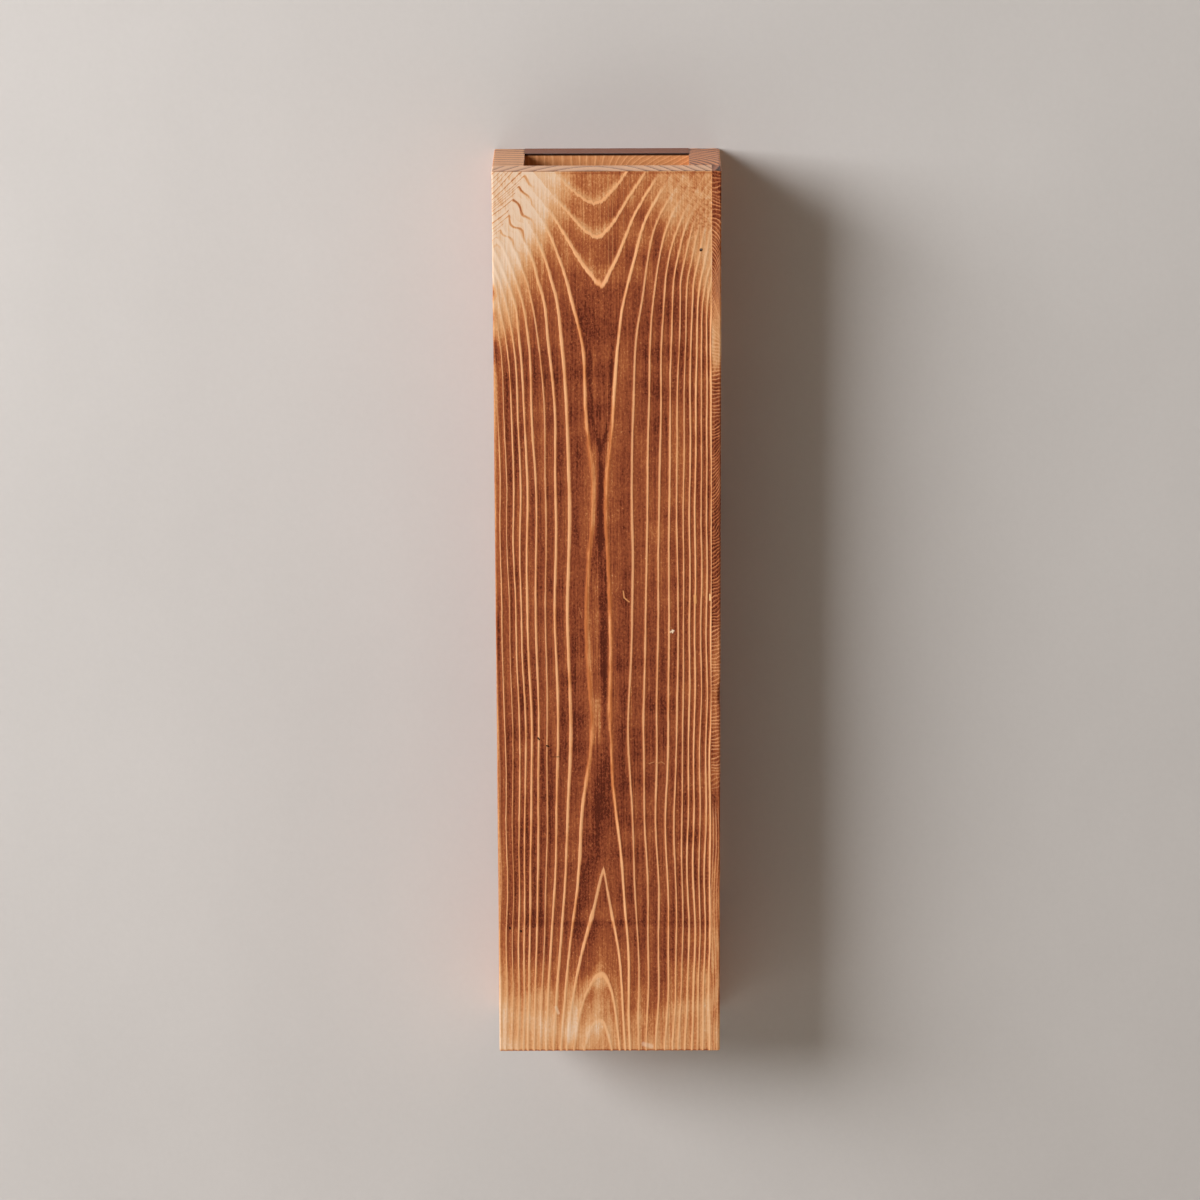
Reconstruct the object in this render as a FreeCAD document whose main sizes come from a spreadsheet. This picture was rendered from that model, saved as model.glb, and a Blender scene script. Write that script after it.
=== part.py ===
import FreeCAD, Part
import os
from math import pi
import Sketcher

# Wall planter: a tall narrow box of scorched softwood boards that hangs flush on a
# wall and carries a lift-out liner near its mouth.
#
# Frame: X to the right as seen from the room, Y into the wall, Z up. The origin
# lies in the wall plane, midway between the entry holes of the two keyhole hangers.

# Driving dimensions in millimetres, and counts.
SIZES = {
    # the box
    "front_board_width": 140,
    "edge_strip_width": 6,
    "box_height": 590,
    "board_thickness": 20,
    "side_board_width": 64,
    "arris_radius": 1.2,
    # the lift-out liner, and the shelf that it stands on
    "liner_height": 180,
    "liner_drop": 15,
    "liner_gap": 2,
    "liner_wall": 1.5,
    "liner_corner_radius": 5,
    "liner_rim_overhang": 1.5,
    "liner_rim_thickness": 2,
    "shelf_thickness": 9,
    "shelf_gap": 0.5,
    "cleat_width": 12,
    "cleat_height": 18,
    # the brads that nail the boards together
    "brad_length": 35,
    "brad_radius": 0.6,
    "brad_head_radius": 1,
    "brad_head_thickness": 0.8,
    "brad_point": 1.5,
    "brad_set": 2,
    "brad_inset": 13,
    "brad_end_margin": 51,
    "long_row_count": 5,
    "short_row_count": 2,
    "short_row_pitch": 24,
    "cleat_brad_length": 25,
    "cleat_brad_pitch": 12,
    "shelf_brad_length": 22,
    # the keyhole hangers, let into the back board
    "hanger_spacing": 60,
    "hanger_drop": 80,
    "hanger_sink": 0.2,
    "plate_width": 16,
    "plate_length": 46,
    "plate_thickness": 2,
    "plate_corner_radius": 3,
    "keyhole_entry_radius": 4.5,
    "keyhole_slot_radius": 2.25,
    "keyhole_rise": 10,
    "head_room_radius": 6,
    "head_room_depth": 6,
    "screw_pitch": 34,
    "screw_length": 14,
    "screw_radius": 1.5,
    "screw_head_radius": 3,
    "screw_head_depth": 1.6,
    "screw_point": 3,
    # running and driven clearances
    "seat_clearance": 0.2,
    "driven_clearance": 0.05,
}

doc = FreeCAD.newDocument("wall_planter")
sheet = doc.addObject("Spreadsheet::Sheet", "Sizes")
for row, (alias, value) in enumerate(SIZES.items(), start=1):
    sheet.set(f"A{row}", alias.replace("_", " "))
    sheet.set(f"B{row}", str(value))
    sheet.setAlias(f"B{row}", alias)
doc.recompute()


# ---------------------------------------------------------------- expressions

def size(alias):
    """The sheet's cell with this alias, as it is written in an expression."""
    return f"Sizes.{alias}"


THICKNESS = size("board_thickness")
BOX_WIDTH = f"({size('front_board_width')} + {size('edge_strip_width')})"
BOX_DEPTH = f"({THICKNESS} + {size('side_board_width')})"
MOUTH_WIDTH = f"({BOX_WIDTH} - 2 * {THICKNESS})"
MOUTH_DEPTH = f"({size('side_board_width')} - {THICKNESS})"

# levels and planes of the box in the part's frame
TOP_LEVEL = size("hanger_drop")
BOTTOM_LEVEL = f"({TOP_LEVEL} - {size('box_height')})"
FRONT_PLANE = f"(-{BOX_DEPTH})"
SIDE_CENTRE = f"({BOX_WIDTH} / 2 - {THICKNESS} / 2)"
MOUTH_CENTRE_Y = f"(-{THICKNESS} - {MOUTH_DEPTH} / 2)"
SHELF_TOP_LEVEL = f"({TOP_LEVEL} - {size('liner_drop')} - {size('liner_height')})"
CLEAT_TOP_LEVEL = f"({SHELF_TOP_LEVEL} - {size('shelf_thickness')})"
CLEAT_LEVEL = f"({CLEAT_TOP_LEVEL} - {size('cleat_height')} / 2)"

# rows of brads
LONG_ROW_PITCH = f"(({size('box_height')} - 2 * {size('brad_end_margin')}) / ({size('long_row_count')} - 1))"
LONG_ROW_START = size("brad_end_margin")

# ---------------------------------------------------------------- sketches

# Where a fastener is driven: the origin plane that holds its axis, and the turn in
# degrees that brings the sketch's upward axis into the driving direction.
DRIVEN = {
    "+Y": ("XY_Plane", 0),
    "-Y": ("XY_Plane", 180),
    "+X": ("XY_Plane", -90),
    "-X": ("XY_Plane", 90),
    "-Z": ("XZ_Plane", 180),
}


def origin_feature(body, role):
    """The body's own origin plane or axis with this role."""
    return next(f for f in body.Origin.OriginFeatures if f.Role == role)


def new_body(label):
    """An empty body with the label that names its sub-part."""
    body = doc.addObject("PartDesign::Body", label)
    body.Label = label
    return body


def place(body, x="0", y="0", z="0"):
    """Binds the body's position to three expressions."""
    for axis, expression in zip("xyz", (x, y, z)):
        body.setExpression(f"Placement.Base.{axis}", expression)


def new_sketch(body, name, plane, at=("0", "0", "0"), turn=0):
    """A sketch on one of the body's origin planes, moved to a point of the body."""
    sketch = body.newObject("Sketcher::SketchObject", f"{body.Name}_{name}")
    sketch.AttachmentSupport = [(origin_feature(body, plane), "")]
    sketch.MapMode = "FlatFace"
    rotation = FreeCAD.Rotation(FreeCAD.Vector(0, 0, 1), turn)
    sketch.AttachmentOffset = FreeCAD.Placement(FreeCAD.Vector(), rotation)
    x, y, z = at
    in_plane = {"XY_Plane": (x, y, z), "XZ_Plane": (x, z, f"-({y})")}[plane]
    for axis, expression in zip("xyz", in_plane):
        sketch.setExpression(f"AttachmentOffset.Base.{axis}", expression)
    return sketch


def bind(sketch, constraint, expression):
    """Adds a dimension to the sketch and binds it to an expression."""
    index = sketch.addConstraint(constraint)
    sketch.setExpression(f"Constraints[{index}]", expression)


def draw_rectangle(sketch, width, height):
    """A rectangle centred on the sketch's origin."""
    corners = [FreeCAD.Vector(x, y, 0) for x, y in ((-5, -5), (5, -5), (5, 5), (-5, 5))]
    for i in range(4):
        sketch.addGeometry(Part.LineSegment(corners[i], corners[(i + 1) % 4]))
    for i in range(4):
        sketch.addConstraint(Sketcher.Constraint("Coincident", i, 2, (i + 1) % 4, 1))
    for i, direction in enumerate(("Horizontal", "Vertical", "Horizontal", "Vertical")):
        sketch.addConstraint(Sketcher.Constraint(direction, i))
    sketch.addConstraint(Sketcher.Constraint("Symmetric", 0, 1, 2, 1, -1, 1))
    bind(sketch, Sketcher.Constraint("DistanceX", 0, 1, 0, 2, 10), width)
    bind(sketch, Sketcher.Constraint("DistanceY", 1, 1, 1, 2, 10), height)


def draw_rounded_rectangle(sketch, width, height, radius):
    """A rectangle with round corners, centred on the sketch's origin."""
    normal = FreeCAD.Vector(0, 0, 1)
    sides = [((-8, -6), (8, -6)), ((10, -4), (10, 4)), ((8, 6), (-8, 6)), ((-10, 4), (-10, -4))]
    centres = [(8, -4), (8, 4), (-8, 4), (-8, -4)]
    for i, ((start, end), centre) in enumerate(zip(sides, centres)):
        sketch.addGeometry(Part.LineSegment(FreeCAD.Vector(*start, 0), FreeCAD.Vector(*end, 0)))
        corner = Part.Circle(FreeCAD.Vector(*centre, 0), normal, 2)
        sketch.addGeometry(Part.ArcOfCircle(corner, (i - 1) * pi / 2, i * pi / 2))
    for i in range(8):
        sketch.addConstraint(Sketcher.Constraint("Tangent", i, 2, (i + 1) % 8, 1))
    for i, direction in ((0, "Horizontal"), (2, "Vertical"), (4, "Horizontal"), (6, "Vertical")):
        sketch.addConstraint(Sketcher.Constraint(direction, i))
    for i in (1, 3, 5):
        sketch.addConstraint(Sketcher.Constraint("Equal", i, i + 2))
    sketch.addConstraint(Sketcher.Constraint("Symmetric", 1, 3, 5, 3, -1, 1))
    bind(sketch, Sketcher.Constraint("Radius", 1, 2), radius)
    bind(sketch, Sketcher.Constraint("DistanceX", 6, 1, 2, 1, 20), width)
    bind(sketch, Sketcher.Constraint("DistanceY", 0, 1, 4, 1, 12), height)


def draw_circle(sketch, radius):
    """A circle centred on the sketch's origin."""
    circle = Part.Circle(FreeCAD.Vector(), FreeCAD.Vector(0, 0, 1), 1)
    sketch.addGeometry(circle)
    sketch.addConstraint(Sketcher.Constraint("Coincident", 0, 3, -1, 1))
    bind(sketch, Sketcher.Constraint("Radius", 0, 1), radius)


def draw_stadium(sketch, radius, rise):
    """A slot with round ends that rises from the sketch's origin."""
    up = FreeCAD.Vector(0, 10, 0)
    normal = FreeCAD.Vector(0, 0, 1)
    lower = Part.ArcOfCircle(Part.Circle(FreeCAD.Vector(), normal, 2), pi, 2 * pi)
    upper = Part.ArcOfCircle(Part.Circle(up, normal, 2), 0, pi)
    right = Part.LineSegment(FreeCAD.Vector(2, 0, 0), FreeCAD.Vector(2, 10, 0))
    left = Part.LineSegment(FreeCAD.Vector(-2, 10, 0), FreeCAD.Vector(-2, 0, 0))
    for edge in (lower, right, upper, left):
        sketch.addGeometry(edge)
    for edge in range(4):
        sketch.addConstraint(Sketcher.Constraint("Tangent", edge, 2, (edge + 1) % 4, 1))
    sketch.addConstraint(Sketcher.Constraint("Coincident", 0, 3, -1, 1))
    sketch.addConstraint(Sketcher.Constraint("PointOnObject", 2, 3, -2))
    sketch.addConstraint(Sketcher.Constraint("Equal", 0, 2))
    bind(sketch, Sketcher.Constraint("Radius", 0, 2), radius)
    bind(sketch, Sketcher.Constraint("DistanceY", 0, 3, 2, 3, 10), rise)


def draw_turned_profile(sketch, rings):
    """Half the section of a turned piece, from its head at the origin to its point.

    rings lists (radius, depth) expressions; the last one has no radius."""
    points = [FreeCAD.Vector()]
    points += [FreeCAD.Vector(0 if radius is None else 2 - 0.2 * i, 2 * i, 0)
               for i, (radius, _) in enumerate(rings)]
    count = len(points)
    for i in range(count):
        sketch.addGeometry(Part.LineSegment(points[i], points[(i + 1) % count]))
    for i in range(count):
        sketch.addConstraint(Sketcher.Constraint("Coincident", i, 2, (i + 1) % count, 1))
    sketch.addConstraint(Sketcher.Constraint("Coincident", 0, 1, -1, 1))
    sketch.addConstraint(Sketcher.Constraint("Horizontal", 0))
    for i, (radius, depth) in enumerate(rings):
        if radius is None:
            sketch.addConstraint(Sketcher.Constraint("PointOnObject", i, 2, -2))
        else:
            bind(sketch, Sketcher.Constraint("DistanceX", -1, 1, i, 2, points[i + 1].x), radius)
        if depth is not None:
            bind(sketch, Sketcher.Constraint("DistanceY", -1, 1, i, 2, points[i + 1].y), depth)


def brad_rings(length, clearance="0"):
    """The rings of a brad, or of the hole that it fills with a clearance."""
    head = f"{size('brad_head_radius')} + {clearance}"
    shank = f"{size('brad_radius')} + {clearance}"
    shoulder = f"{size('brad_head_thickness')} + {clearance}"
    return [
        (head, None),
        (head, shoulder),
        (shank, shoulder),
        (shank, f"{length} - {size('brad_point')} + {clearance}"),
        (None, f"{length} + 2 * {clearance}"),
    ]


def screw_rings(clearance="0"):
    """The rings of a countersunk hanger screw, or of its hole with a clearance."""
    shank = f"{size('screw_radius')} + {clearance}"
    return [
        (f"{size('screw_head_radius')} + {clearance}", None),
        (shank, f"{size('screw_head_depth')} + {clearance}"),
        (shank, f"{size('screw_length')} - {size('screw_point')}"),
        (None, f"{size('screw_length')} + 2 * {clearance}"),
    ]


# ---------------------------------------------------------------- features

def pad(sketch, length):
    """Pads a sketch of a body upwards, or along its own normal."""
    feature = sketch.getParentGeoFeatureGroup().newObject("PartDesign::Pad", f"{sketch.Name}_pad")
    feature.Profile = sketch
    feature.setExpression("Length", length)
    doc.recompute()
    return feature


def removed(feature, body, volume_before):
    """Checks that a cutting feature has taken material away."""
    doc.recompute()
    if not feature.Shape.Volume < volume_before - 1e-3:
        raise RuntimeError(f"{feature.Name} in {body.Label} cuts nothing")


def pocket(sketch, depth, reverse=False):
    """Cuts a sketch's outline into its body."""
    body = sketch.getParentGeoFeatureGroup()
    before = body.Shape.Volume
    feature = body.newObject("PartDesign::Pocket", f"{sketch.Name}_pocket")
    feature.Profile = sketch
    feature.Reversed = reverse
    feature.setExpression("Length", depth)
    removed(feature, body, before)
    return feature


def turned(kind, body, name, direction, head_at, rings):
    """Turns a fastener's profile about its own axis: Revolution adds, Groove cuts."""
    plane, turn = DRIVEN[direction]
    sketch = new_sketch(body, name, plane, head_at, turn)
    draw_turned_profile(sketch, rings)
    doc.recompute()
    before = body.Shape.Volume if kind == "Groove" else None
    feature = body.newObject(f"PartDesign::{kind}", f"{sketch.Name}_turned")
    feature.Profile = sketch
    feature.ReferenceAxis = (sketch, ["V_Axis"])
    feature.Angle = 360
    doc.recompute()
    if kind == "Groove":
        removed(feature, body, before)
    return feature


def repeated(body, features, name, axis, pitch, count):
    """Repeats features of the body in a straight row."""
    row_pattern = body.newObject("PartDesign::LinearPattern", f"{body.Name}_{name}")
    row_pattern.Originals = features
    row_pattern.Direction = (origin_feature(body, f"{axis}_Axis"), [""])
    row_pattern.Mode = "Spacing"
    row_pattern.setExpression("Offset", pitch)
    row_pattern.setExpression("Occurrences", count)
    body.Tip = row_pattern
    doc.recompute()
    return row_pattern


def mirrored(body, features, name):
    """Mirrors features of the body from its right half to its left half."""
    mirror = body.newObject("PartDesign::Mirrored", f"{body.Name}_{name}")
    mirror.Originals = features
    mirror.MirrorPlane = (origin_feature(body, "YZ_Plane"), [""])
    body.Tip = mirror
    doc.recompute()
    return mirror


def edges_between(shape, pairs):
    """Names the straight edges that two sides of a block share."""
    box = shape.BoundBox
    sides = {
        "left": ("X", box.XMin), "right": ("X", box.XMax),
        "front": ("Y", box.YMin), "back": ("Y", box.YMax),
        "bottom": ("Z", box.ZMin), "top": ("Z", box.ZMax),
    }

    def lies_on(edge, side):
        axis, level = sides[side]
        low = getattr(edge.BoundBox, f"{axis}Min")
        high = getattr(edge.BoundBox, f"{axis}Max")
        return abs(low - level) < 1e-4 and abs(high - level) < 1e-4

    return [f"Edge{i}" for i, edge in enumerate(shape.Edges, start=1)
            if any(lies_on(edge, a) and lies_on(edge, b) for a, b in pairs)]


def rounded(body, feature, pairs, radius, name):
    """Rounds the edges that the named pairs of sides share."""
    fillet = body.newObject("PartDesign::Fillet", f"{body.Name}_{name}")
    fillet.Base = (feature, edges_between(feature.Shape, pairs))
    fillet.setExpression("Radius", radius)
    doc.recompute()
    return fillet


def board(label, width, depth, height, eased=()):
    """A board that stands on the middle of its own end, with eased arrises."""
    body = new_body(label)
    section = new_sketch(body, "section", "XY_Plane")
    draw_rectangle(section, width, depth)
    doc.recompute()
    block = pad(section, height)
    if eased:
        rounded(body, block, eased, size("arris_radius"), "arrises")
    return body


def brad_row(kind, body, name, direction, head_at, length, axis, pitch, count):
    """A row of brads, or the row of holes that they fill."""
    clearance = size("driven_clearance") if kind == "Groove" else "0"
    first = turned(kind, body, name, direction, head_at, brad_rings(length, clearance))
    return repeated(body, [first], f"{name}_row", axis, pitch, count)


# ---------------------------------------------------------------- brad positions
# Each row is given once, as the distance of its first head from the outer faces of
# the box, and is used by both boards that it joins and by the brads themselves.

LONG_ROW = (size("brad_length"), "Z", LONG_ROW_PITCH, size("long_row_count"))
SHORT_ROW = (size("brad_length"), "Y", size("short_row_pitch"), size("short_row_count"))
CLEAT_ROW = (size("cleat_brad_length"), "Y", size("cleat_brad_pitch"), size("short_row_count"))
SHELF_ROW = (size("shelf_brad_length"), "Y", size("short_row_pitch"), size("short_row_count"))

SHORT_ROW_HALF = f"({size('short_row_pitch')} * ({size('short_row_count')} - 1) / 2)"
CLEAT_ROW_HALF = f"({size('cleat_brad_pitch')} * ({size('short_row_count')} - 1) / 2)"
BASE_ROW_Y = f"({MOUTH_CENTRE_Y} - {SHORT_ROW_HALF})"
CLEAT_ROW_Y = f"({MOUTH_CENTRE_Y} - {CLEAT_ROW_HALF})"
BASE_ROW_Z = f"({THICKNESS} / 2)"
FRONT_ROW_X = f"({BOX_WIDTH} / 2 - {size('brad_inset')})"
SHELF_ROW_X = f"({MOUTH_WIDTH} / 2 - {size('cleat_width')} / 2)"
SIDE_HEAD_X = f"({BOX_WIDTH} / 2 - {size('brad_set')})"

# ---------------------------------------------------------------- the box

front_centre_x = f"(-{size('edge_strip_width')} / 2)"
front_centre_y = f"({FRONT_PLANE} + {THICKNESS} / 2)"

front_board = board(
    "front_board", size("front_board_width"), THICKNESS, size("box_height"),
    eased=[("left", "front"), ("front", "top"), ("front", "bottom"),
           ("left", "top"), ("left", "bottom")],
)
place(front_board, front_centre_x, front_centre_y, BOTTOM_LEVEL)
front_head_y = f"({size('brad_set')} - {THICKNESS} / 2)"
for side, sign in (("left", "-"), ("right", "")):
    head_at = (f"({sign}{FRONT_ROW_X} - {front_centre_x})", front_head_y, LONG_ROW_START)
    brad_row("Groove", front_board, f"{side}_brads", "+Y", head_at, *LONG_ROW)

# the one brad hole that the finish has left open, at the top right
open_hole = new_sketch(
    front_board, "open_hole", "XZ_Plane",
    (f"({FRONT_ROW_X} - {front_centre_x})", f"(-{THICKNESS} / 2)",
     f"({size('box_height')} - {size('brad_end_margin')})"),
)
draw_circle(open_hole, size("brad_radius"))
doc.recompute()
pocket(open_hole, size("brad_set"))

front_edge_strip = board(
    "front_edge_strip", size("edge_strip_width"), THICKNESS, size("box_height"),
    eased=[("right", "front"), ("front", "top"), ("front", "bottom"),
           ("right", "top"), ("right", "bottom")],
)
place(front_edge_strip, f"({BOX_WIDTH} / 2 - {size('edge_strip_width')} / 2)", front_centre_y,
      BOTTOM_LEVEL)

side_centre_y = f"(-{size('side_board_width')} / 2)"
for side, sign, inwards in (("left", "-", "+X"), ("right", "", "-X")):
    side_board = board(
        f"side_board_{side}", THICKNESS, size("side_board_width"), size("box_height"),
        eased=[(side, "back"), (side, "top"), (side, "bottom")],
    )
    centre_x = f"({sign}{SIDE_CENTRE})"
    place(side_board, centre_x, side_centre_y, BOTTOM_LEVEL)
    front_head = (f"({sign}{FRONT_ROW_X} - {centre_x})",
                  f"({FRONT_PLANE} + {size('brad_set')} - {side_centre_y})", LONG_ROW_START)
    brad_row("Groove", side_board, "front_brads", "+Y", front_head, *LONG_ROW)
    head_x = f"({sign}{SIDE_HEAD_X} - {centre_x})"
    back_head = (head_x, f"(-{THICKNESS} / 2 - {side_centre_y})", LONG_ROW_START)
    brad_row("Groove", side_board, "back_brads", inwards, back_head, *LONG_ROW)
    base_head = (head_x, f"({BASE_ROW_Y} - {side_centre_y})", BASE_ROW_Z)
    brad_row("Groove", side_board, "base_brads", inwards, base_head, *SHORT_ROW)
    outwards = "-X" if side == "left" else "+X"
    cleat_head = (f"({sign}({MOUTH_WIDTH} / 2 - {size('cleat_width')}) - {centre_x})",
                  f"({CLEAT_ROW_Y} - {side_centre_y})", f"({CLEAT_LEVEL} - {BOTTOM_LEVEL})")
    brad_row("Groove", side_board, "cleat_brads", outwards, cleat_head, *CLEAT_ROW)

base_board = board("base_board", MOUTH_WIDTH, MOUTH_DEPTH, THICKNESS)
place(base_board, "0", MOUTH_CENTRE_Y, BOTTOM_LEVEL)
for side, sign, inwards in (("left", "-", "+X"), ("right", "", "-X")):
    head_at = (f"({sign}{SIDE_HEAD_X})", f"({BASE_ROW_Y} - {MOUTH_CENTRE_Y})", BASE_ROW_Z)
    brad_row("Groove", base_board, f"{side}_brads", inwards, head_at, *SHORT_ROW)

# ---------------------------------------------------------------- back and hangers

PLATE_SEAT_DEPTH = f"({size('hanger_sink')} + {size('plate_thickness')})"
PLATE_MIDDLE = f"({size('keyhole_rise')} / 2)"
FIRST_SCREW = f"({PLATE_MIDDLE} - {size('screw_pitch')} / 2)"
HANGER_X = f"({size('hanger_spacing')} / 2)"

back_board = board("back_board", MOUTH_WIDTH, THICKNESS, size("box_height"))
back_centre_y = f"(-{THICKNESS} / 2)"
place(back_board, "0", back_centre_y, BOTTOM_LEVEL)
for side, sign, inwards in (("left", "-", "+X"), ("right", "", "-X")):
    brad_row("Groove", back_board, f"{side}_brads", inwards,
             (f"({sign}{SIDE_HEAD_X})", "0", LONG_ROW_START), *LONG_ROW)

entry_level = f"(-{BOTTOM_LEVEL})"
wall_side = f"({THICKNESS} / 2)"
seat = new_sketch(back_board, "plate_seat", "XZ_Plane",
                  (HANGER_X, wall_side, f"({entry_level} + {PLATE_MIDDLE})"))
draw_rounded_rectangle(seat, f"{size('plate_width')} + 2 * {size('seat_clearance')}",
                       f"{size('plate_length')} + 2 * {size('seat_clearance')}",
                       f"{size('plate_corner_radius')} + {size('seat_clearance')}")
doc.recompute()
seat_pocket = pocket(seat, PLATE_SEAT_DEPTH, reverse=True)
head_room = new_sketch(back_board, "head_room", "XZ_Plane", (HANGER_X, wall_side, entry_level))
draw_stadium(head_room, size("head_room_radius"), size("keyhole_rise"))
doc.recompute()
head_pocket = pocket(head_room, f"{PLATE_SEAT_DEPTH} + {size('head_room_depth')}", reverse=True)
screw_holes = [
    turned("Groove", back_board, name, "-Y",
           (HANGER_X, f"({wall_side} - {size('hanger_sink')})", f"({entry_level} + {level})"),
           screw_rings(size("driven_clearance")))
    for name, level in (("lower_screw", FIRST_SCREW),
                        ("upper_screw", f"({FIRST_SCREW} + {size('screw_pitch')})"))
]
mirrored(back_board, [seat_pocket, head_pocket, *screw_holes], "left_hanger")

for side, sign in (("left", "-"), ("right", "")):
    hanger_x = f"({sign}{HANGER_X})"
    plate = new_body(f"hanger_plate_{side}")
    place(plate, hanger_x, f"(-{size('hanger_sink')})", "0")
    outline = new_sketch(plate, "outline", "XZ_Plane", ("0", "0", PLATE_MIDDLE))
    draw_rounded_rectangle(outline, size("plate_width"), size("plate_length"),
                           size("plate_corner_radius"))
    doc.recompute()
    pad(outline, size("plate_thickness"))
    front_of_plate = f"(-{size('plate_thickness')})"
    entry = new_sketch(plate, "entry", "XZ_Plane", ("0", front_of_plate, "0"))
    draw_circle(entry, size("keyhole_entry_radius"))
    doc.recompute()
    pocket(entry, size("plate_thickness"))
    slot = new_sketch(plate, "slot", "XZ_Plane", ("0", front_of_plate, "0"))
    draw_stadium(slot, size("keyhole_slot_radius"), size("keyhole_rise"))
    doc.recompute()
    pocket(slot, size("plate_thickness"))
    countersink = turned("Groove", plate, "screw_holes", "-Y", ("0", "0", FIRST_SCREW),
                         screw_rings(size("driven_clearance")))
    repeated(plate, [countersink], "screw_hole_row", "Z", size("screw_pitch"), "2")

    screws = new_body(f"hanger_screws_{side}")
    place(screws, hanger_x, f"(-{size('hanger_sink')})", "0")
    screw = turned("Revolution", screws, "screw", "-Y", ("0", "0", FIRST_SCREW), screw_rings())
    repeated(screws, [screw], "row", "Z", size("screw_pitch"), "2")

# ---------------------------------------------------------------- shelf and liner

liner_shelf = board(
    "liner_shelf", f"{MOUTH_WIDTH} - 2 * {size('shelf_gap')}",
    f"{MOUTH_DEPTH} - 2 * {size('shelf_gap')}", size("shelf_thickness"),
)
place(liner_shelf, "0", MOUTH_CENTRE_Y, CLEAT_TOP_LEVEL)
for side, sign in (("left", "-"), ("right", "")):
    brad_row("Groove", liner_shelf, f"{side}_brads", "-Z",
             (f"({sign}{SHELF_ROW_X})", f"(-{SHORT_ROW_HALF})", size("shelf_thickness")), *SHELF_ROW)

for side, sign in (("left", "-"), ("right", "")):
    cleat = board(f"shelf_cleat_{side}", size("cleat_width"),
                  f"{MOUTH_DEPTH} - 2 * {size('shelf_gap')}", size("cleat_height"))
    cleat_x = f"({sign}{SHELF_ROW_X})"
    place(cleat, cleat_x, MOUTH_CENTRE_Y, f"({CLEAT_TOP_LEVEL} - {size('cleat_height')})")
    brad_row("Groove", cleat, "shelf_brads", "-Z",
             ("0", f"(-{SHORT_ROW_HALF})", f"({size('cleat_height')} + {size('shelf_thickness')})"),
             *SHELF_ROW)
    outwards = "-X" if side == "left" else "+X"
    inner_face = f"({'' if side == 'left' else '-'}{size('cleat_width')} / 2)"
    brad_row("Groove", cleat, "cleat_brads", outwards,
             (inner_face, f"({CLEAT_ROW_Y} - {MOUTH_CENTRE_Y})", f"({size('cleat_height')} / 2)"),
             *CLEAT_ROW)

# The liner's outlines, from its foot up: inset from the rim's edge, corner radius,
# level of the sketch.
RIM_WIDTH = f"({MOUTH_WIDTH} - 2 * {size('liner_gap')})"
RIM_DEPTH = f"({MOUTH_DEPTH} - 2 * {size('liner_gap')})"
OVERHANG = size("liner_rim_overhang")


def liner_outline(body, name, inset, corner_radius, level):
    """A level outline of the liner, drawn inside its rim's edge."""
    outline = new_sketch(body, name, "XY_Plane", ("0", "0", level))
    draw_rounded_rectangle(outline, f"{RIM_WIDTH} - 2 * ({inset})", f"{RIM_DEPTH} - 2 * ({inset})",
                           corner_radius)
    doc.recompute()
    return outline


liner = new_body("liner")
place(liner, "0", MOUTH_CENTRE_Y, SHELF_TOP_LEVEL)
pad(liner_outline(liner, "walls", OVERHANG, size("liner_corner_radius"), "0"), size("liner_height"))
pad(liner_outline(liner, "rim", "0", f"{size('liner_corner_radius')} + {OVERHANG}",
                  f"({size('liner_height')} - {size('liner_rim_thickness')})"),
    size("liner_rim_thickness"))
pocket(liner_outline(liner, "hollow", f"{OVERHANG} + {size('liner_wall')}",
                     f"{size('liner_corner_radius')} - {size('liner_wall')}", size("liner_height")),
       f"{size('liner_height')} - {size('liner_wall')}")

# ---------------------------------------------------------------- loose brads

for side, sign in (("left", "-"), ("right", "")):
    inwards = "+X" if side == "left" else "-X"
    outwards = "-X" if side == "left" else "+X"
    rows = {
        f"front_brads_{side}": ("+Y", (f"({sign}{FRONT_ROW_X})", f"({FRONT_PLANE} + {size('brad_set')})",
                                       LONG_ROW_START), LONG_ROW),
        f"back_brads_{side}": (inwards, (f"({sign}{SIDE_HEAD_X})", f"(-{THICKNESS} / 2)",
                                         LONG_ROW_START), LONG_ROW),
        f"base_brads_{side}": (inwards, (f"({sign}{SIDE_HEAD_X})", BASE_ROW_Y, BASE_ROW_Z), SHORT_ROW),
        f"cleat_brads_{side}": (outwards, (f"({sign}({MOUTH_WIDTH} / 2 - {size('cleat_width')}))",
                                           CLEAT_ROW_Y, f"({CLEAT_LEVEL} - {BOTTOM_LEVEL})"), CLEAT_ROW),
        f"shelf_brads_{side}": ("-Z", (f"({sign}{SHELF_ROW_X})", f"({MOUTH_CENTRE_Y} - {SHORT_ROW_HALF})",
                                       f"({SHELF_TOP_LEVEL} - {BOTTOM_LEVEL})"), SHELF_ROW),
    }
    for label, (direction, head_at, row) in rows.items():
        brads = new_body(label)
        place(brads, z=BOTTOM_LEVEL)
        brad_row("Revolution", brads, "brad", direction, head_at, *row)

# ---------------------------------------------------------------- checks and export

doc.recompute()
bodies = [thing for thing in doc.Objects if thing.TypeId == "PartDesign::Body"]
for thing in doc.Objects:
    if "Invalid" in thing.State or "Error" in thing.State:
        raise RuntimeError(f"{thing.Name} failed: {thing.State}")
for sketch in doc.findObjects("Sketcher::SketchObject"):
    if not sketch.FullyConstrained:
        raise RuntimeError(f"{sketch.Name} is not fully constrained")
for body in bodies:
    if body.Shape.isNull() or not body.Shape.isValid():
        raise RuntimeError(f"{body.Label} has no valid shape")

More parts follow.
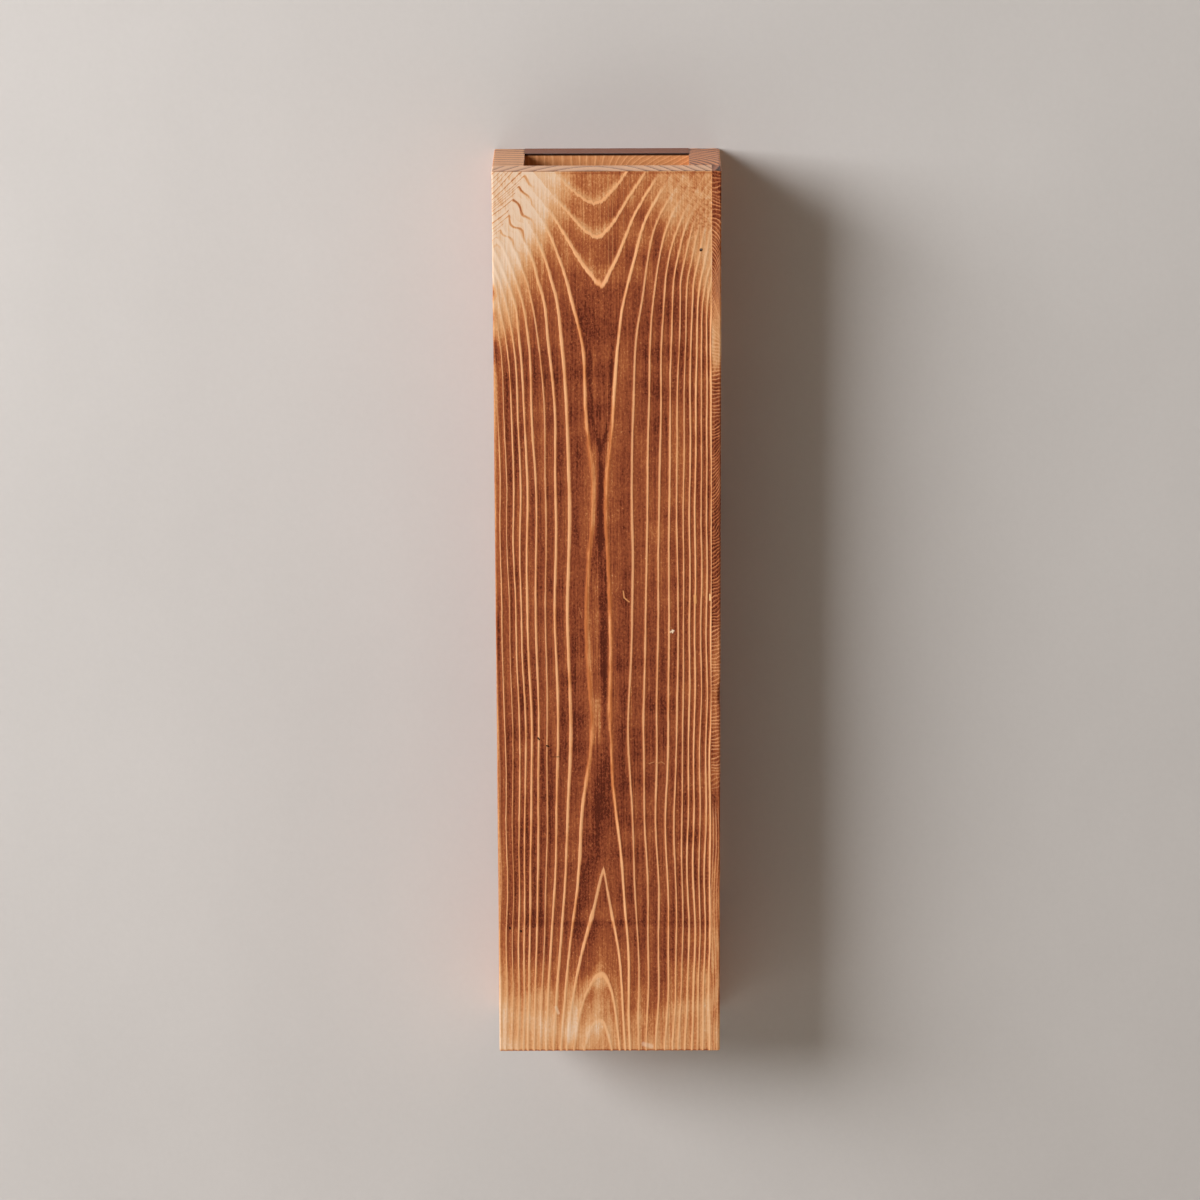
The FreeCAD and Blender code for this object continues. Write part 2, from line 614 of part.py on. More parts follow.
os.makedirs("parts", exist_ok=True)
for body in bodies:
    body.Shape.exportStep(f"parts/{body.Label}.step")
    box = body.Shape.BoundBox
    print(f"{body.Label:20s} {len(body.Shape.Solids)} solid(s) {body.Shape.Volume:10.1f} mm3  "
          f"x {box.XMin:7.2f} {box.XMax:7.2f}  y {box.YMin:7.2f} {box.YMax:7.2f}  "
          f"z {box.ZMin:7.2f} {box.ZMax:7.2f}")
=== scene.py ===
import logging
from dataclasses import dataclass
from enum import Enum
from math import cos, radians, sin

import bpy
import numpy as np
from mathutils import Matrix, Vector


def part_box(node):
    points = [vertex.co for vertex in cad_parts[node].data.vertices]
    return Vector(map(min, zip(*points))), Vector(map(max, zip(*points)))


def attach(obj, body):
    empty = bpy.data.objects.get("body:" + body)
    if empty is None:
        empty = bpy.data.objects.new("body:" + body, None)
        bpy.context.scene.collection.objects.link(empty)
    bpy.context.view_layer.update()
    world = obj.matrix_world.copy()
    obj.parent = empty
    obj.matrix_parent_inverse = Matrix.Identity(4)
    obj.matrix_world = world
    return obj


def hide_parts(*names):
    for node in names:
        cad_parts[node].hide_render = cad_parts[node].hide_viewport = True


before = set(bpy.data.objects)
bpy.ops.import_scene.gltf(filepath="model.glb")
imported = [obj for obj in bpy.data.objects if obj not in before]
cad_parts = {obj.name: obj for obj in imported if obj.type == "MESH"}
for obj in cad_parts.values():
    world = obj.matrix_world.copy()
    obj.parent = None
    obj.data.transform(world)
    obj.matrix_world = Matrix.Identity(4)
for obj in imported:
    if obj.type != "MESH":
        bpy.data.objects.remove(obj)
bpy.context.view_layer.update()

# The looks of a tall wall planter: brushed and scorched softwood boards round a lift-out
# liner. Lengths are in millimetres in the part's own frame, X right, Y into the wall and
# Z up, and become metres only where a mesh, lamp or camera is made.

MM = 0.001
LOG = logging.getLogger("wall_planter")

Array = np.ndarray
Rgb = tuple[float, float, float]
Stops = tuple[tuple[float, Rgb], ...]
Points = tuple[tuple[float, float], ...]

# places in the part's frame: the front's outer face and its joint with the side boards
# on Y, the joint with the edge strip, the strip's width and the side boards' inner faces
# on X, the box's middle and whole height on Z, and the open brad hole on X and Z
FRONT_FACE, FRONT_JOINT = -84.0, -64.0
STRIP_JOINT, STRIP_WIDTH, SIDE_INNER = 67.0, 6.0, 53.0
MIDDLE_HEIGHT, BOX_HEIGHT = -215.0, 590.0
BRAD_HOLE = (60.0, 29.0)


# ---------------------------------------------------------------- small helpers

def linear(colour: Rgb) -> tuple[float, float, float, float]:
    """Turns a display colour into the linear colour that a shader socket takes.

    Args:
        colour: red, green and blue as a screen shows them, from 0 to 255.

    Returns:
        The linear colour with full alpha, by the usual display curve: c / 12.92 up to
        0.04045 and ((c + 0.055) / 1.055) ** 2.4 above it.
    """
    share = np.asarray(colour, float) / 255
    bent = np.where(share <= 0.04045, share / 12.92, ((share + 0.055) / 1.055) ** 2.4)
    return (*bent.tolist(), 1.0)


def smoothstep(value: Array, low: float, high: float) -> Array:
    """The S curve t * t * (3 - 2 t), where t rises from 0 at low to 1 at high."""
    t = np.clip((value - low) / (high - low), 0, 1)
    return t * t * (3 - 2 * t)


def bell(value: Array, middle: float, width: float) -> Array:
    """The bell curve exp(-((value - middle) / width) ** 2)."""
    return np.exp(-((value - middle) / width) ** 2)


def through(at: Array, knots: Array, values: Array) -> Array:
    """A smooth curve through knots: a cubic Hermite spline.

    Each knot's slope is that of the chord between its two neighbours, and a place
    beyond the last knots takes the last value.

    Args:
        at: the places where the curve is read.
        knots: the places of the knots, rising.
        values: the curve's values at the knots.

    Returns:
        The curve's value at each place.
    """
    slopes = np.gradient(values, knots)
    at = np.clip(at, knots[0], knots[-1])
    left = np.clip(np.searchsorted(knots, at) - 1, 0, len(knots) - 2)
    span = knots[left + 1] - knots[left]
    t = (at - knots[left]) / span
    return ((1 + 2 * t) * (1 - t) ** 2 * values[left] + t * (1 - t) ** 2 * span * slopes[left]
            + t * t * (3 - 2 * t) * values[left + 1] + t * t * (t - 1) * span * slopes[left + 1])


def curve(at: Array, points: Points) -> Array:
    """Reads the smooth curve through (place, value) points, in any order of places."""
    ordered = np.array(sorted(points), float)
    return through(at, ordered[:, 0], ordered[:, 1])


def waves(seed: int, a: Array, b: Array, length_a: float, length_b: float,
          count: int = 7) -> Array:
    """A gentle random surface over two coordinates: a sum of plane waves.

    Each wave is sin(2 pi (a / la + b / lb) + phase), with its lengths and phase drawn
    from the seed, and the sum is scaled to stay mostly within -1 and 1.
    """
    draw = np.random.default_rng(seed)
    total = np.zeros(np.broadcast(a, b).shape)
    for _ in range(count):
        la, lb = length_a * draw.uniform(0.7, 1.8), length_b * draw.uniform(0.7, 1.8)
        sign = draw.choice((-1.0, 1.0))
        total += np.sin(2 * np.pi * (a / la + sign * b / lb) + draw.uniform(0, 2 * np.pi))
    return total / np.sqrt(count)


# ---------------------------------------------------------------- meshes

class Side(Enum):
    """The six sides of a board: its axis, and whether it is the high end of that axis."""

    LEFT = (0, False)
    RIGHT = (0, True)
    FRONT = (1, False)
    BACK = (1, True)
    BOTTOM = (2, False)
    TOP = (2, True)


@dataclass
class Surface:
    """The points of a board's skin before relief, with the way that each one faces."""

    at: Array
    facing: Array

    @property
    def x(self) -> Array:
        """Distances to the right of the middle."""
        return self.at[:, 0]

    @property
    def y(self) -> Array:
        """Distances into the wall, negative in front of it."""
        return self.at[:, 1]

    @property
    def z(self) -> Array:
        """Heights over the hangers' entry holes."""
        return self.at[:, 2]

    @property
    def end_on(self) -> Array:
        """How far each point faces up or down, from 0 to 1."""
        return np.abs(self.facing[:, 2])

    @property
    def flatness(self) -> Array:
        """1 on the flat of a side, less on its arrises: 0.35 + 0.65 * steepest ** 6."""
        return 0.35 + 0.65 * np.max(np.abs(self.facing), axis=1) ** 6


def steps(low: float, high: float, spacing: float) -> Array:
    """Evenly spaced places from low to high, both of them included."""
    return np.linspace(low, high, max(2, round(abs(high - low) / spacing) + 1))


@dataclass
class Lattice:
    """A closed block whose skin is a net over three rows of sample places.

    Sides in fine are nets of quads. The others are one flat face each and share the
    nets' border points, so the shell is closed. Sides in eased meet in round arrises.
    """

    xs: Array
    ys: Array
    zs: Array
    fine: tuple[Side, ...]
    eased: tuple[Side, ...] = ()
    radius: float = 1.2

    def arris_steps(self, places: Array, axis: int) -> Array:
        """Adds the sample places that a round arris needs at its eased ends.

        The places lie at radius * (1 - tan(angle)) from the end, for even angles, so
        that the rounding turns by the same angle from one to the next.
        """
        offsets = self.radius * (1 - np.tan(np.radians((45, 30, 15, 0))))
        low, high = places[0], places[-1]
        kept = places
        for side in self.eased:
            if side.value[0] == axis:
                end, way = (high, -1) if side.value[1] else (low, 1)
                kept = kept[np.abs(kept - end) > self.radius * 1.2]
                kept = np.concatenate([kept, end + way * offsets])
        return np.unique(np.round(np.concatenate([kept, (low, high)]), 6))

    def net(self, side: Side, shape: tuple[int, int, int]) -> Array:
        """The point codes of one side as a grid, so that its quads face outwards."""
        axis, high = side.value
        across, along = (axis + 1) % 3, (axis + 2) % 3
        index = [None, None, None]
        index[axis] = np.full((shape[across], shape[along]), shape[axis] - 1 if high else 0)
        index[across], index[along] = np.meshgrid(
            np.arange(shape[across]), np.arange(shape[along]), indexing="ij")
        codes = (index[0] * shape[1] + index[1]) * shape[2] + index[2]
        return codes if high else codes[::-1]

    def faces(self, shape: tuple[int, int, int]) -> tuple[list[Array], list[Array]]:
        """Lists the quads of the fine sides and the loops of the flat sides, as codes."""
        quads, loops = [], []
        for side in Side:
            codes = self.net(side, shape)
            if side in self.fine:
                corners = (codes[:-1, :-1], codes[1:, :-1], codes[1:, 1:], codes[:-1, 1:])
                quads.append(np.stack(corners, axis=-1).reshape(-1, 4))
            else:
                loops.append(np.concatenate([codes[:-1, 0], codes[-1, :-1],
                                             codes[:0:-1, -1], codes[0, :0:-1]]))
        return quads, loops

    def eased_surface(self, at: Array) -> Surface:
        """Rounds the arrises between eased sides.

        The core block is the board less the radius at its eased sides. A point on an
        eased side goes to the core's nearest point plus the radius along the line
        between them. Every other point stays.
        """
        low, high = at.min(axis=0), at.max(axis=0)
        core_low, core_high = low.copy(), high.copy()
        on_eased = np.zeros(len(at), bool)
        facing = np.zeros_like(at)
        for side in Side:
            axis, is_high = side.value
            end = high[axis] if is_high else low[axis]
            there = np.abs(at[:, axis] - end) < 1e-6
            if side in self.eased:
                core_end = core_high if is_high else core_low
                core_end[axis] -= self.radius * (1 if is_high else -1)
                on_eased |= there
            elif side in self.fine:
                facing[there, axis] = 1 if is_high else -1
        core = np.clip(at, core_low, core_high)
        out = at - core
        reach = np.linalg.norm(out, axis=1, keepdims=True)
        moved = on_eased & (reach[:, 0] > 1e-9)
        way = out[moved] / reach[moved]
        at = at.copy()
        at[moved] = core[moved] + self.radius * way
        facing[moved] = way
        return Surface(at, facing)


def build_board(name: str, lattice: Lattice, grain: "Grain", finishes: tuple) -> bpy.types.Object:
    """Makes a board's mesh with its relief and the attributes that its finish reads.

    A point lies at skin point - facing * relief, so the relief only goes inwards.

    Args:
        name: the new object's name.
        lattice: the board's net.
        grain: says the rings, the scorching and the relief at each point.
        finishes: the material of the fine sides, then that of the flat sides.

    Returns:
        The board as an object at the origin, linked to the scene.
    """
    rows = [lattice.arris_steps(places, axis)
            for axis, places in enumerate((lattice.xs, lattice.ys, lattice.zs))]
    shape = tuple(len(row) for row in rows)
    quads, loops = lattice.faces(shape)
    quads = np.concatenate(quads)
    used, back = np.unique(np.concatenate([quads.ravel(), *loops]), return_inverse=True)
    index = np.unravel_index(used, shape)
    surface = lattice.eased_surface(np.stack([row[i] for row, i in zip(rows, index)], axis=1))

    marks = grain.read(surface)
    at = surface.at - surface.facing * marks.relief[:, None]
    mesh = bpy.data.meshes.new(name)
    sizes = np.concatenate([np.full(len(quads), 4), [len(loop) for loop in loops]])
    starts = np.concatenate([[0], np.cumsum(sizes)[:-1]])
    mesh.vertices.add(len(at))
    mesh.vertices.foreach_set("co", (at * MM).ravel())
    mesh.loops.add(len(back))
    mesh.loops.foreach_set("vertex_index", back.astype(np.int32))
    mesh.polygons.add(len(sizes))
    mesh.polygons.foreach_set("loop_start", starts.astype(np.int32))
    mesh.polygons.foreach_set("material_index", (sizes != 4).astype(np.int32))
    for label, values in marks.attributes(surface).items():
        layer = mesh.attributes.new(label, "FLOAT", "POINT")
        layer.data.foreach_set("value", values.astype(np.float32))
    mesh.update(calc_edges=True)
    mesh.validate()
    mesh.shade_smooth()
    mesh.set_sharp_from_angle(angle=radians(50))
    for finish in finishes:
        mesh.materials.append(finish)
    board = bpy.data.objects.new(name, mesh)
    bpy.context.scene.collection.objects.link(board)
    return board


# ---------------------------------------------------------------- grain

@dataclass
class Marks:
    """What the grain says at each point of a board's skin."""

    ring: Array
    gap: Array
    climb: Array
    scorch: Array
    swirl: Array
    chevron: Array
    relief: Array

    def attributes(self, surface: Surface) -> dict[str, Array]:
        """The values that the finish reads, with how far each point faces up or down."""
        names = ("ring", "gap", "climb", "scorch", "swirl", "chevron")
        return {name: getattr(self, name) for name in names} | {"end": surface.end_on}


@dataclass
class Streak:
    """A soft stroke along a line through given (x, z) points.

    It changes a value by amount * exp(-(distance / width) ** 2).
    """

    points: Points
    width: float
    amount: float

    def read(self, x: Array, z: Array) -> Array:
        """The stroke's value at each point, from the distance to its nearest run."""
        nearest = np.full(x.shape, 1e9)
        for (x0, z0), (x1, z1) in zip(self.points, self.points[1:]):
            along = np.array((x1 - x0, z1 - z0))
            t = ((x - x0) * along[0] + (z - z0) * along[1]) / (along @ along)
            t = np.clip(t, 0, 1)
            away = np.hypot(x - x0 - t * along[0], z - z0 - t * along[1])
            nearest = np.minimum(nearest, away)
        return self.amount * bell(nearest, 0, self.width)


@dataclass
class Patch:
    """A soft round patch: amount * exp(-(dx / rx) ** 2 - (dz / rz) ** 2)."""

    x: float
    z: float
    rx: float
    rz: float
    amount: float

    def read(self, x: Array, z: Array) -> Array:
        """The patch's value at each point."""
        return self.amount * np.exp(
            -((x - self.x) / self.rx) ** 2 - ((z - self.z) / self.rz) ** 2)


class Grain:
    """Growth rings, scorching and brushed relief. Ring lines lie at whole numbers.

    across and along are the steps over which the rings' slope is measured.
    """

    line_width: float = 0.75
    depth: float = 0.32
    seed: int = 1
    across: float = 0.25
    along: float = 0.8

    def ring(self, x: Array, y: Array, z: Array) -> Array:
        """The ring number at each point."""
        raise NotImplementedError

    def scorch(self, surface: Surface) -> Array:
        """How deeply the flame has browned each point, from 0 to 1."""
        raise NotImplementedError

    def swirl(self, surface: Surface) -> Array:
        """Where the ring lines drown in fine swirled fibre: from 0 to 1."""
        return np.zeros(len(surface.at))

    def chevron(self, surface: Surface) -> Array:
        """The number of the chevron at each point, with its lines at whole numbers."""
        return np.zeros(len(surface.at))

    def fade(self, surface: Surface) -> Array:
        """Where the relief dies away, towards joints: from 0 to 1."""
        return np.ones(len(surface.at))

    def extra_relief(self, surface: Surface) -> Array:
        """Dents and holes that the brushing didn't make, in millimetres."""
        return np.zeros(len(surface.at))

    def read(self, surface: Surface) -> Marks:
        """Works out all marks of a skin.

        The gap between two rings is 1 / |gradient of ring|, measured over the skin
        only. The relief is depth * (1 - bump), where the bump falls off from each
        ring line with the distance in millimetres, plus shallow fibre waves.
        """
        x, y, z = surface.at.T
        ring = self.ring(x, y, z)
        moves = np.diag((self.across, self.across, self.along))
        slope = np.stack([
            (self.ring(x + dx, y + dy, z + dz) - self.ring(x - dx, y - dy, z - dz))
            / (2 * (dx + dy + dz)) for dx, dy, dz in moves], axis=1)
        climb = slope[:, 2].copy()
        slope -= surface.facing * np.sum(slope * surface.facing, axis=1, keepdims=True)
        gap = 1 / np.clip(np.linalg.norm(slope, axis=1), 0.03, 2)
        scorch = np.clip(self.scorch(surface), 0, 1)
        from_line = np.abs((ring + 0.5) % 1 - 0.5) * gap
        swirl = np.clip(self.swirl(surface), 0, 1)
        bump = np.exp(-(from_line / (self.line_width + 0.04 * gap)) ** 2) * (1 - 0.8 * swirl)
        fibre = 0.5 + 0.5 * waves(self.seed, x + y, z, 2.2, 90.0)
        relief = self.depth * (0.45 + 0.55 * scorch) * (1 - bump) * (0.75 + 0.25 * fibre)
        relief = relief * self.fade(surface) + self.extra_relief(surface)
        return Marks(ring, gap, climb, scorch, swirl, self.chevron(surface), np.maximum(relief, 0))


@dataclass
class FrontGrain(Grain):
    """The flat-sawn figure of the front board.

    Ring lines run from top to bottom on both sides of the middle, and the rings nearest
    the middle close in arches near the top and near the bottom. heights lists the
    stations where the lines are placed, and each row of left and right is one ring
    line, from the middle outwards, as its distance from the middle at each station.
    Beyond the last rows the lines lie outer_spacing apart, and behind_turn rings more
    are passed with each millimetre of depth.
    """

    depth: float = 0.34
    seed: int = 11
    outer_spacing: float = 4.0
    behind_turn: float = 0.06
    heights: tuple[float, ...] = (
        -506, -432, -384, -343, -295, -214, -121, -82, -30, -4, 10, 22, 48, 80)
    left: tuple[tuple[float, ...], ...] = (
        (32.5, 25.5, 20.0, 17.5, 11.5, 14.5, 10.0, 13.5, 16.5, 23.0, 26.6, 30.1, 40.3, 66.0),
        (37.5, 32.0, 28.5, 27.0, 25.0, 26.5, 25.0, 26.5, 29.0, 32.5, 36.2, 39.3, 50.3, 74.0),
        (42.0, 38.5, 35.0, 34.5, 33.0, 34.5, 33.5, 34.0, 37.5, 40.5, 44.5, 47.2, 60.0, 83.0),
        (46.0, 43.0, 41.0, 40.5, 40.0, 40.5, 40.0, 40.5, 44.0, 48.0, 51.5, 55.8, 68.5, 92.0),
        (50.0, 48.0, 46.5, 46.5, 45.5, 47.0, 46.5, 48.5, 50.5, 54.0, 57.9, 62.3, 76.0, 100.0),
        (54.0, 52.5, 51.5, 51.0, 50.0, 52.5, 52.0, 53.0, 56.5, 59.0, 63.6, 68.5, 83.0, 108.0),
        (57.0, 56.0, 55.5, 55.0, 54.0, 56.5, 56.5, 57.0, 60.5, 64.5, 68.4, 73.5, 89.0, 116.0),
        (60.5, 59.5, 59.0, 58.5, 58.0, 60.0, 61.0, 61.0, 65.0, 69.0, 71.8, 78.0, 95.0, 124.0),
        (64.5, 63.5, 63.0, 63.0, 62.5, 64.0, 65.5, 66.0, 69.0, 73.0, 77.5, 83.0, 101.0, 132.0),
        (68.5, 67.5, 67.0, 67.0, 67.5, 69.0, 69.5, 70.0, 73.0, 77.0, 82.5, 88.0, 107.0, 140.0),
    )
    right: tuple[tuple[float, ...], ...] = (
        (13.5, 12.0, 9.0, 4.5, 1.5, 1.5, -0.5, 3.5, 7.0, 11.0, 14.0, 17.0, 25.0, 42.0),
        (19.5, 19.0, 16.5, 15.5, 13.0, 16.0, 16.0, 16.5, 19.0, 22.5, 24.0, 25.8, 32.6, 50.0),
        (24.5, 26.0, 25.0, 23.5, 23.0, 24.5, 26.0, 26.5, 28.0, 29.5, 31.2, 33.3, 40.0, 57.0),
        (31.0, 33.0, 32.0, 31.0, 31.5, 32.5, 33.5, 34.5, 35.0, 36.5, 37.7, 39.6, 47.0, 63.5),
        (37.0, 39.5, 38.0, 37.5, 39.0, 39.5, 40.0, 40.5, 41.0, 42.0, 43.1, 45.3, 51.5, 69.0),
        (42.0, 44.5, 43.5, 43.0, 44.5, 45.5, 44.5, 45.0, 46.0, 47.0, 47.7, 49.8, 56.0, 73.5),
        (45.5, 48.5, 48.0, 48.0, 48.5, 49.0, 49.0, 49.5, 50.0, 51.0, 52.0, 54.2, 60.0, 78.0),
        (50.0, 52.5, 51.5, 52.0, 52.5, 53.0, 53.0, 53.5, 53.5, 55.0, 56.0, 58.4, 64.0, 82.0),
        (54.5, 56.5, 55.5, 55.5, 56.0, 56.5, 56.5, 57.0, 57.5, 58.5, 60.0, 62.5, 68.0, 86.0),
        (58.0, 59.5, 59.5, 59.5, 60.0, 60.5, 60.5, 60.5, 60.5, 61.5, 63.5, 66.5, 72.0, 90.0),
        (61.5, 63.0, 63.0, 63.5, 64.0, 64.0, 64.0, 64.0, 64.0, 64.5, 66.5, 70.0, 75.5, 94.0),
        (66.0, 66.0, 66.5, 66.0, 66.5, 67.0, 67.0, 66.5, 66.5, 67.5, 69.5, 73.0, 79.0, 98.0),
    )
    # the arches: how far right of the middle their tops lie, and how many rings deep the
    # middle lies inside the innermost pair of lines, so an arch closes at each whole number
    middle: Points = (
        (80, -8.5), (59, -8), (37, -6.5), (6, -2.5), (-60, -4), (-110, -5), (-170, -4.5),
        (-240, -4), (-290, -3.5), (-345, -4), (-384, -3.5), (-456, -5), (-490, -6.5), (-510, -7))
    inside: Points = (
        (80, 3.95), (59, 3), (48.5, 2.5), (37, 2), (22.6, 1.46), (14, 1.15), (6, 1), (-12, 0.8),
        (-40, 0.6), (-90, 0.5), (-115, 0.25), (-200, 0.5), (-285, 0.3), (-345, 0.75), (-384, 1),
        (-432, 1.6), (-456, 2), (-488, 3), (-510, 3.6))
    # how round the arches are: 2 is a parabola and 1 a straight-sided point
    roundness: Points = (
        (80, 1.75), (48, 1.7), (20, 1.6), (0, 1.9), (-100, 2.0), (-360, 1.6), (-384, 1.35),
        (-430, 1.6), (-456, 2.0), (-510, 2.0))

    def ring(self, x: Array, y: Array, z: Array) -> Array:
        """The ring number, counted outwards from the innermost pair of lines.

        Outside the pair, one ring is added from each line to the next, in proportion.
        Between the pair, it is -inside * (1 - t ** roundness), where t is the share of
        the way from the middle to the pair. Deeper in the board the rings close up,
        as they do round a tree's heart behind it.
        """
        x = x + 0.35 * waves(self.seed, x, z, 60, 55)
        stations = np.array(self.heights, float)
        sides = {}
        for name, sign, table in (("left", -1, self.left), ("right", 1, self.right)):
            lines = [sign * through(z, stations, np.array(row)) for row in table]
            total = np.zeros(x.shape)
            for inner, outer in zip(lines, lines[1:]):
                total += np.clip((x - inner) / (outer - inner), 0, 1)
            total += np.maximum(sign * (x - lines[-1]), 0) / self.outer_spacing
            sides[name] = (lines[0], total)
        middle = curve(z, self.middle)
        reach = np.where(x < middle, middle - sides["left"][0], sides["right"][0] - middle)
        t = np.clip(np.abs(x - middle) / np.maximum(reach, 1), 0, 1)
        arches = curve(z, self.inside) * (1 - t ** curve(z, self.roundness))
        behind = np.maximum(y - FRONT_FACE, 0)
        return sides["left"][1] + sides["right"][1] - arches + self.behind_turn * behind

    # how brown the board is by height, and where the cream, pale and tan corners end
    base: Points = (
        (80, 0.53), (60, 0.59), (40, 0.65), (15, 0.75), (-10, 0.82), (-100, 0.79), (-200, 0.81),
        (-300, 0.83), (-415, 0.83), (-434, 0.81), (-450, 0.7), (-468, 0.54), (-485, 0.44),
        (-510, 0.4))
    cream_edge: Points = ((80, -31), (60, -35), (45, -41), (30, -50), (15, -60), (0, -70))
    pale_edge: Points = (
        (80, -26), (60, -30), (45, -35), (20, -43), (0, -50), (-20, -61), (-45, -76), (-70, -96),
        (-90, -110))
    tan_edge: Points = ((80, 26), (60, 33), (45, 39), (30, 46), (10, 55), (-8, 66), (-20, 76))
    # where the flame has left the wood paler or made it darker than that
    patches: tuple[Patch, ...] = (
        Patch(-8, -18, 14, 22, 0.10),
        Patch(-18, -110, 5, 22, 0.10),
        Patch(-3, -345, 9, 26, 0.05),
        Patch(-14, -440, 6, 12, 0.05),
        Patch(38, -385, 30, 50, -0.05),
        Patch(-71, -230, 3, 170, 0.2),
        Patch(-58, -330, 14, 110, 0.05),
        Patch(-12, -421, 64, 2.2, 0.10),
        Patch(16, -420.5, 44, 1.6, 0.08),
        Patch(-44, -54, 26, 5, 0.10),
        Patch(10, -46, 9, 12, -0.08),
        Patch(10, -52, 9, 22, -0.10),
        Patch(-72, -37, 3.2, 10, 0.6),
        Patch(-72.5, 2, 2.0, 5, 0.4),
        Patch(-72.5, -14, 2.0, 5, 0.4),
        Patch(8, -29, 15, 4, -0.08),
        Patch(-30, -30, 20, 3, -0.05),
        Patch(62, 73, 9, 5, 0.05),
        Patch(-71.5, -228, 1.6, 26, 0.35),
        Patch(-62, -215, 9, 45, -0.06),
        Patch(-50, -18, 16, 16, -0.10),
        Patch(64, 15, 7, 34, -0.10),
        Patch(66, -325, 6, 26, -0.16),
        Patch(66, -480, 9, 40, -0.12),
        Patch(-60, -495, 22, 26, -0.05),
        Patch(-33, -490, 17, 20, -0.16),
        Patch(-2, -500, 12, 12, -0.06),
        Patch(30, -470, 16, 22, 0.16),
        Patch(32, 34, 3.2, 9, 0.2),
        Patch(22, 53, 2.6, 9, 0.16),
        Patch(-5, 70, 17, 9, 0.04),
        Patch(38, -150, 20, 60, -0.04),
        Patch(-3.5, -404, 5, 15, -0.12),
        Patch(-3, -426, 7, 16, -0.1),
        Patch(-5, 26, 10, 9, -0.06),
        Patch(45, 57, 16, 16, -0.07),
        Patch(-28, -200, 9, 40, 0.05),
        Patch(5, -150, 5, 45, -0.04),
    )
    streaks: tuple[Streak, ...] = (
        # the dark tongue above the waist, then the long dark core and the wedge below it
        Streak(((-11, -38), (-10.5, -60), (-9.5, -80), (-7.5, -92), (-4.5, -101)), 1.0, 0.28),
        Streak(((2.6, -44), (1.4, -66), (0.8, -82), (-1, -92), (-4.5, -101)), 1.0, 0.36),
        Streak(((3.4, -34), (2.6, -44), (1.6, -62)), 1.1, 0.1),
        Streak(((-4, -112), (-3.8, -140), (-4, -165)), 1.4, 0.22),
        Streak(((-5.2, -160), (-5.5, -190), (-4.6, -225), (-3.6, -250)), 3.2, 0.12),
        Streak(((-3.4, -250), (-3.2, -275), (-3.2, -292)), 1.8, 0.14),
        Streak(((-3.2, -300), (-4, -320), (-5, -345)), 4.5, 0.16),
        # the orange edges along the core
        Streak(((-9, -100), (-7.5, -118), (-7.8, -140), (-8.6, -158)), 1.6, -0.16),
        Streak(((-1.5, -104), (-0.6, -125), (0.2, -150)), 1.2, -0.12),
        Streak(((-12.5, -170), (-12.8, -205), (-11.5, -235), (-9.5, -262), (-8, -285)), 1.9, -0.16),
        Streak(((-7.5, -268), (-7.2, -284), (-8.6, -298)), 2.6, -0.18),
        Streak(((0.8, -215), (1.2, -255), (-0.4, -272), (0.2, -290), (1.6, -310)), 1.5, -0.16),
        # the broad left leg of the second arch from the bottom
        Streak(((-5, -450), (-13.5, -462), (-21, -477), (-26, -502)), 3.2, -0.15),
        # the fan of the pale corner
        *(Streak(((-71 + 2.6 * k, 78.8), (-71.6 + 1.7 * k, 68 - k), (-72 + 0.9 * k, 58)), 0.6, 0.1)
          for k in range(1, 7)),
        # the bright dash across the tan corner, the lines under it and the plain patch
        Streak(((46, 77.5), (50, 75), (54, 70), (57, 66), (60.5, 63), (66, 62.6)), 1.8, -0.1),
        Streak(((58, 61.2), (62, 60.9), (67, 60.9)), 0.6, 0.2),
        Streak(((47, 69.5), (52, 68.6), (56, 69)), 0.7, 0.18),
        *(Streak(((66.5, 58.5 - 2.6 * k), (61 - k, 58 - 3.2 * k), (56 - 2 * k, 53 - 4.4 * k)),
                 0.5, 0.16) for k in range(6)),
    )

    def scorch(self, surface: Surface) -> Array:
        """The base level by height, with the pale corners, patches and strokes.

        Beyond each edge curve the level falls to that corner's own, over a soft band.
        The border darkens the left edge below the pale corner, but for its arris. The
        ends are bare wood, browned along their front arris and lighter towards the
        mouth, with a painted highlight along the mouth's edge.
        """
        x, z = surface.x, surface.z
        level = curve(z, self.base)
        level = level + 0.04 * waves(5, x, z, 30, 120) + 0.03 * waves(6, x, z, 9, 60)
        level = level + 0.04 * waves(7, x, z, 70, 16)
        pale = smoothstep(curve(z, self.pale_edge) - x, -19, 17)
        tanned = smoothstep(x - curve(z, self.tan_edge), -12, 14)
        level = level + (0.29 - level) * pale
        level = level + (0.36 - level) * 0.85 * tanned
        level = level + (0.04 - level) * smoothstep(curve(z, self.cream_edge) - x, -13, 11)
        for mark in (*self.patches, *self.streaks):
            level = level + mark.read(x, z)
        border = smoothstep(-z, -5, 45) * smoothstep(z, -485, -425)
        level = level + (0.22 * smoothstep(-x, 58, 65) - 0.22 * bell(x, -72.2, 0.8)) * border
        level = level + 0.3 * smoothstep(-surface.facing[:, 0], 0.75, 1) * smoothstep(-z, -45, 10)
        singed = 0.3 * bell(z, 78.5, 0.5) * smoothstep(x, -48, -20)
        level = level + singed * (surface.facing[:, 1] < -0.9) + 0.35 * bell(z, -509.3, 0.6)
        # the ends: browned at the front arris, lighter towards the mouth, and a painted highlight
        # (the lighter band at FRONT_JOINT) along the mouth's edge
        sawn = (0.16 - 0.1 * smoothstep(surface.y, -82, FRONT_JOINT)
                + 0.5 * bell(surface.y, -83.2, 0.9) - 0.3 * bell(surface.y, FRONT_JOINT, 1.2))
        return level + (sawn - level) * smoothstep(surface.end_on, 0.55, 0.9)

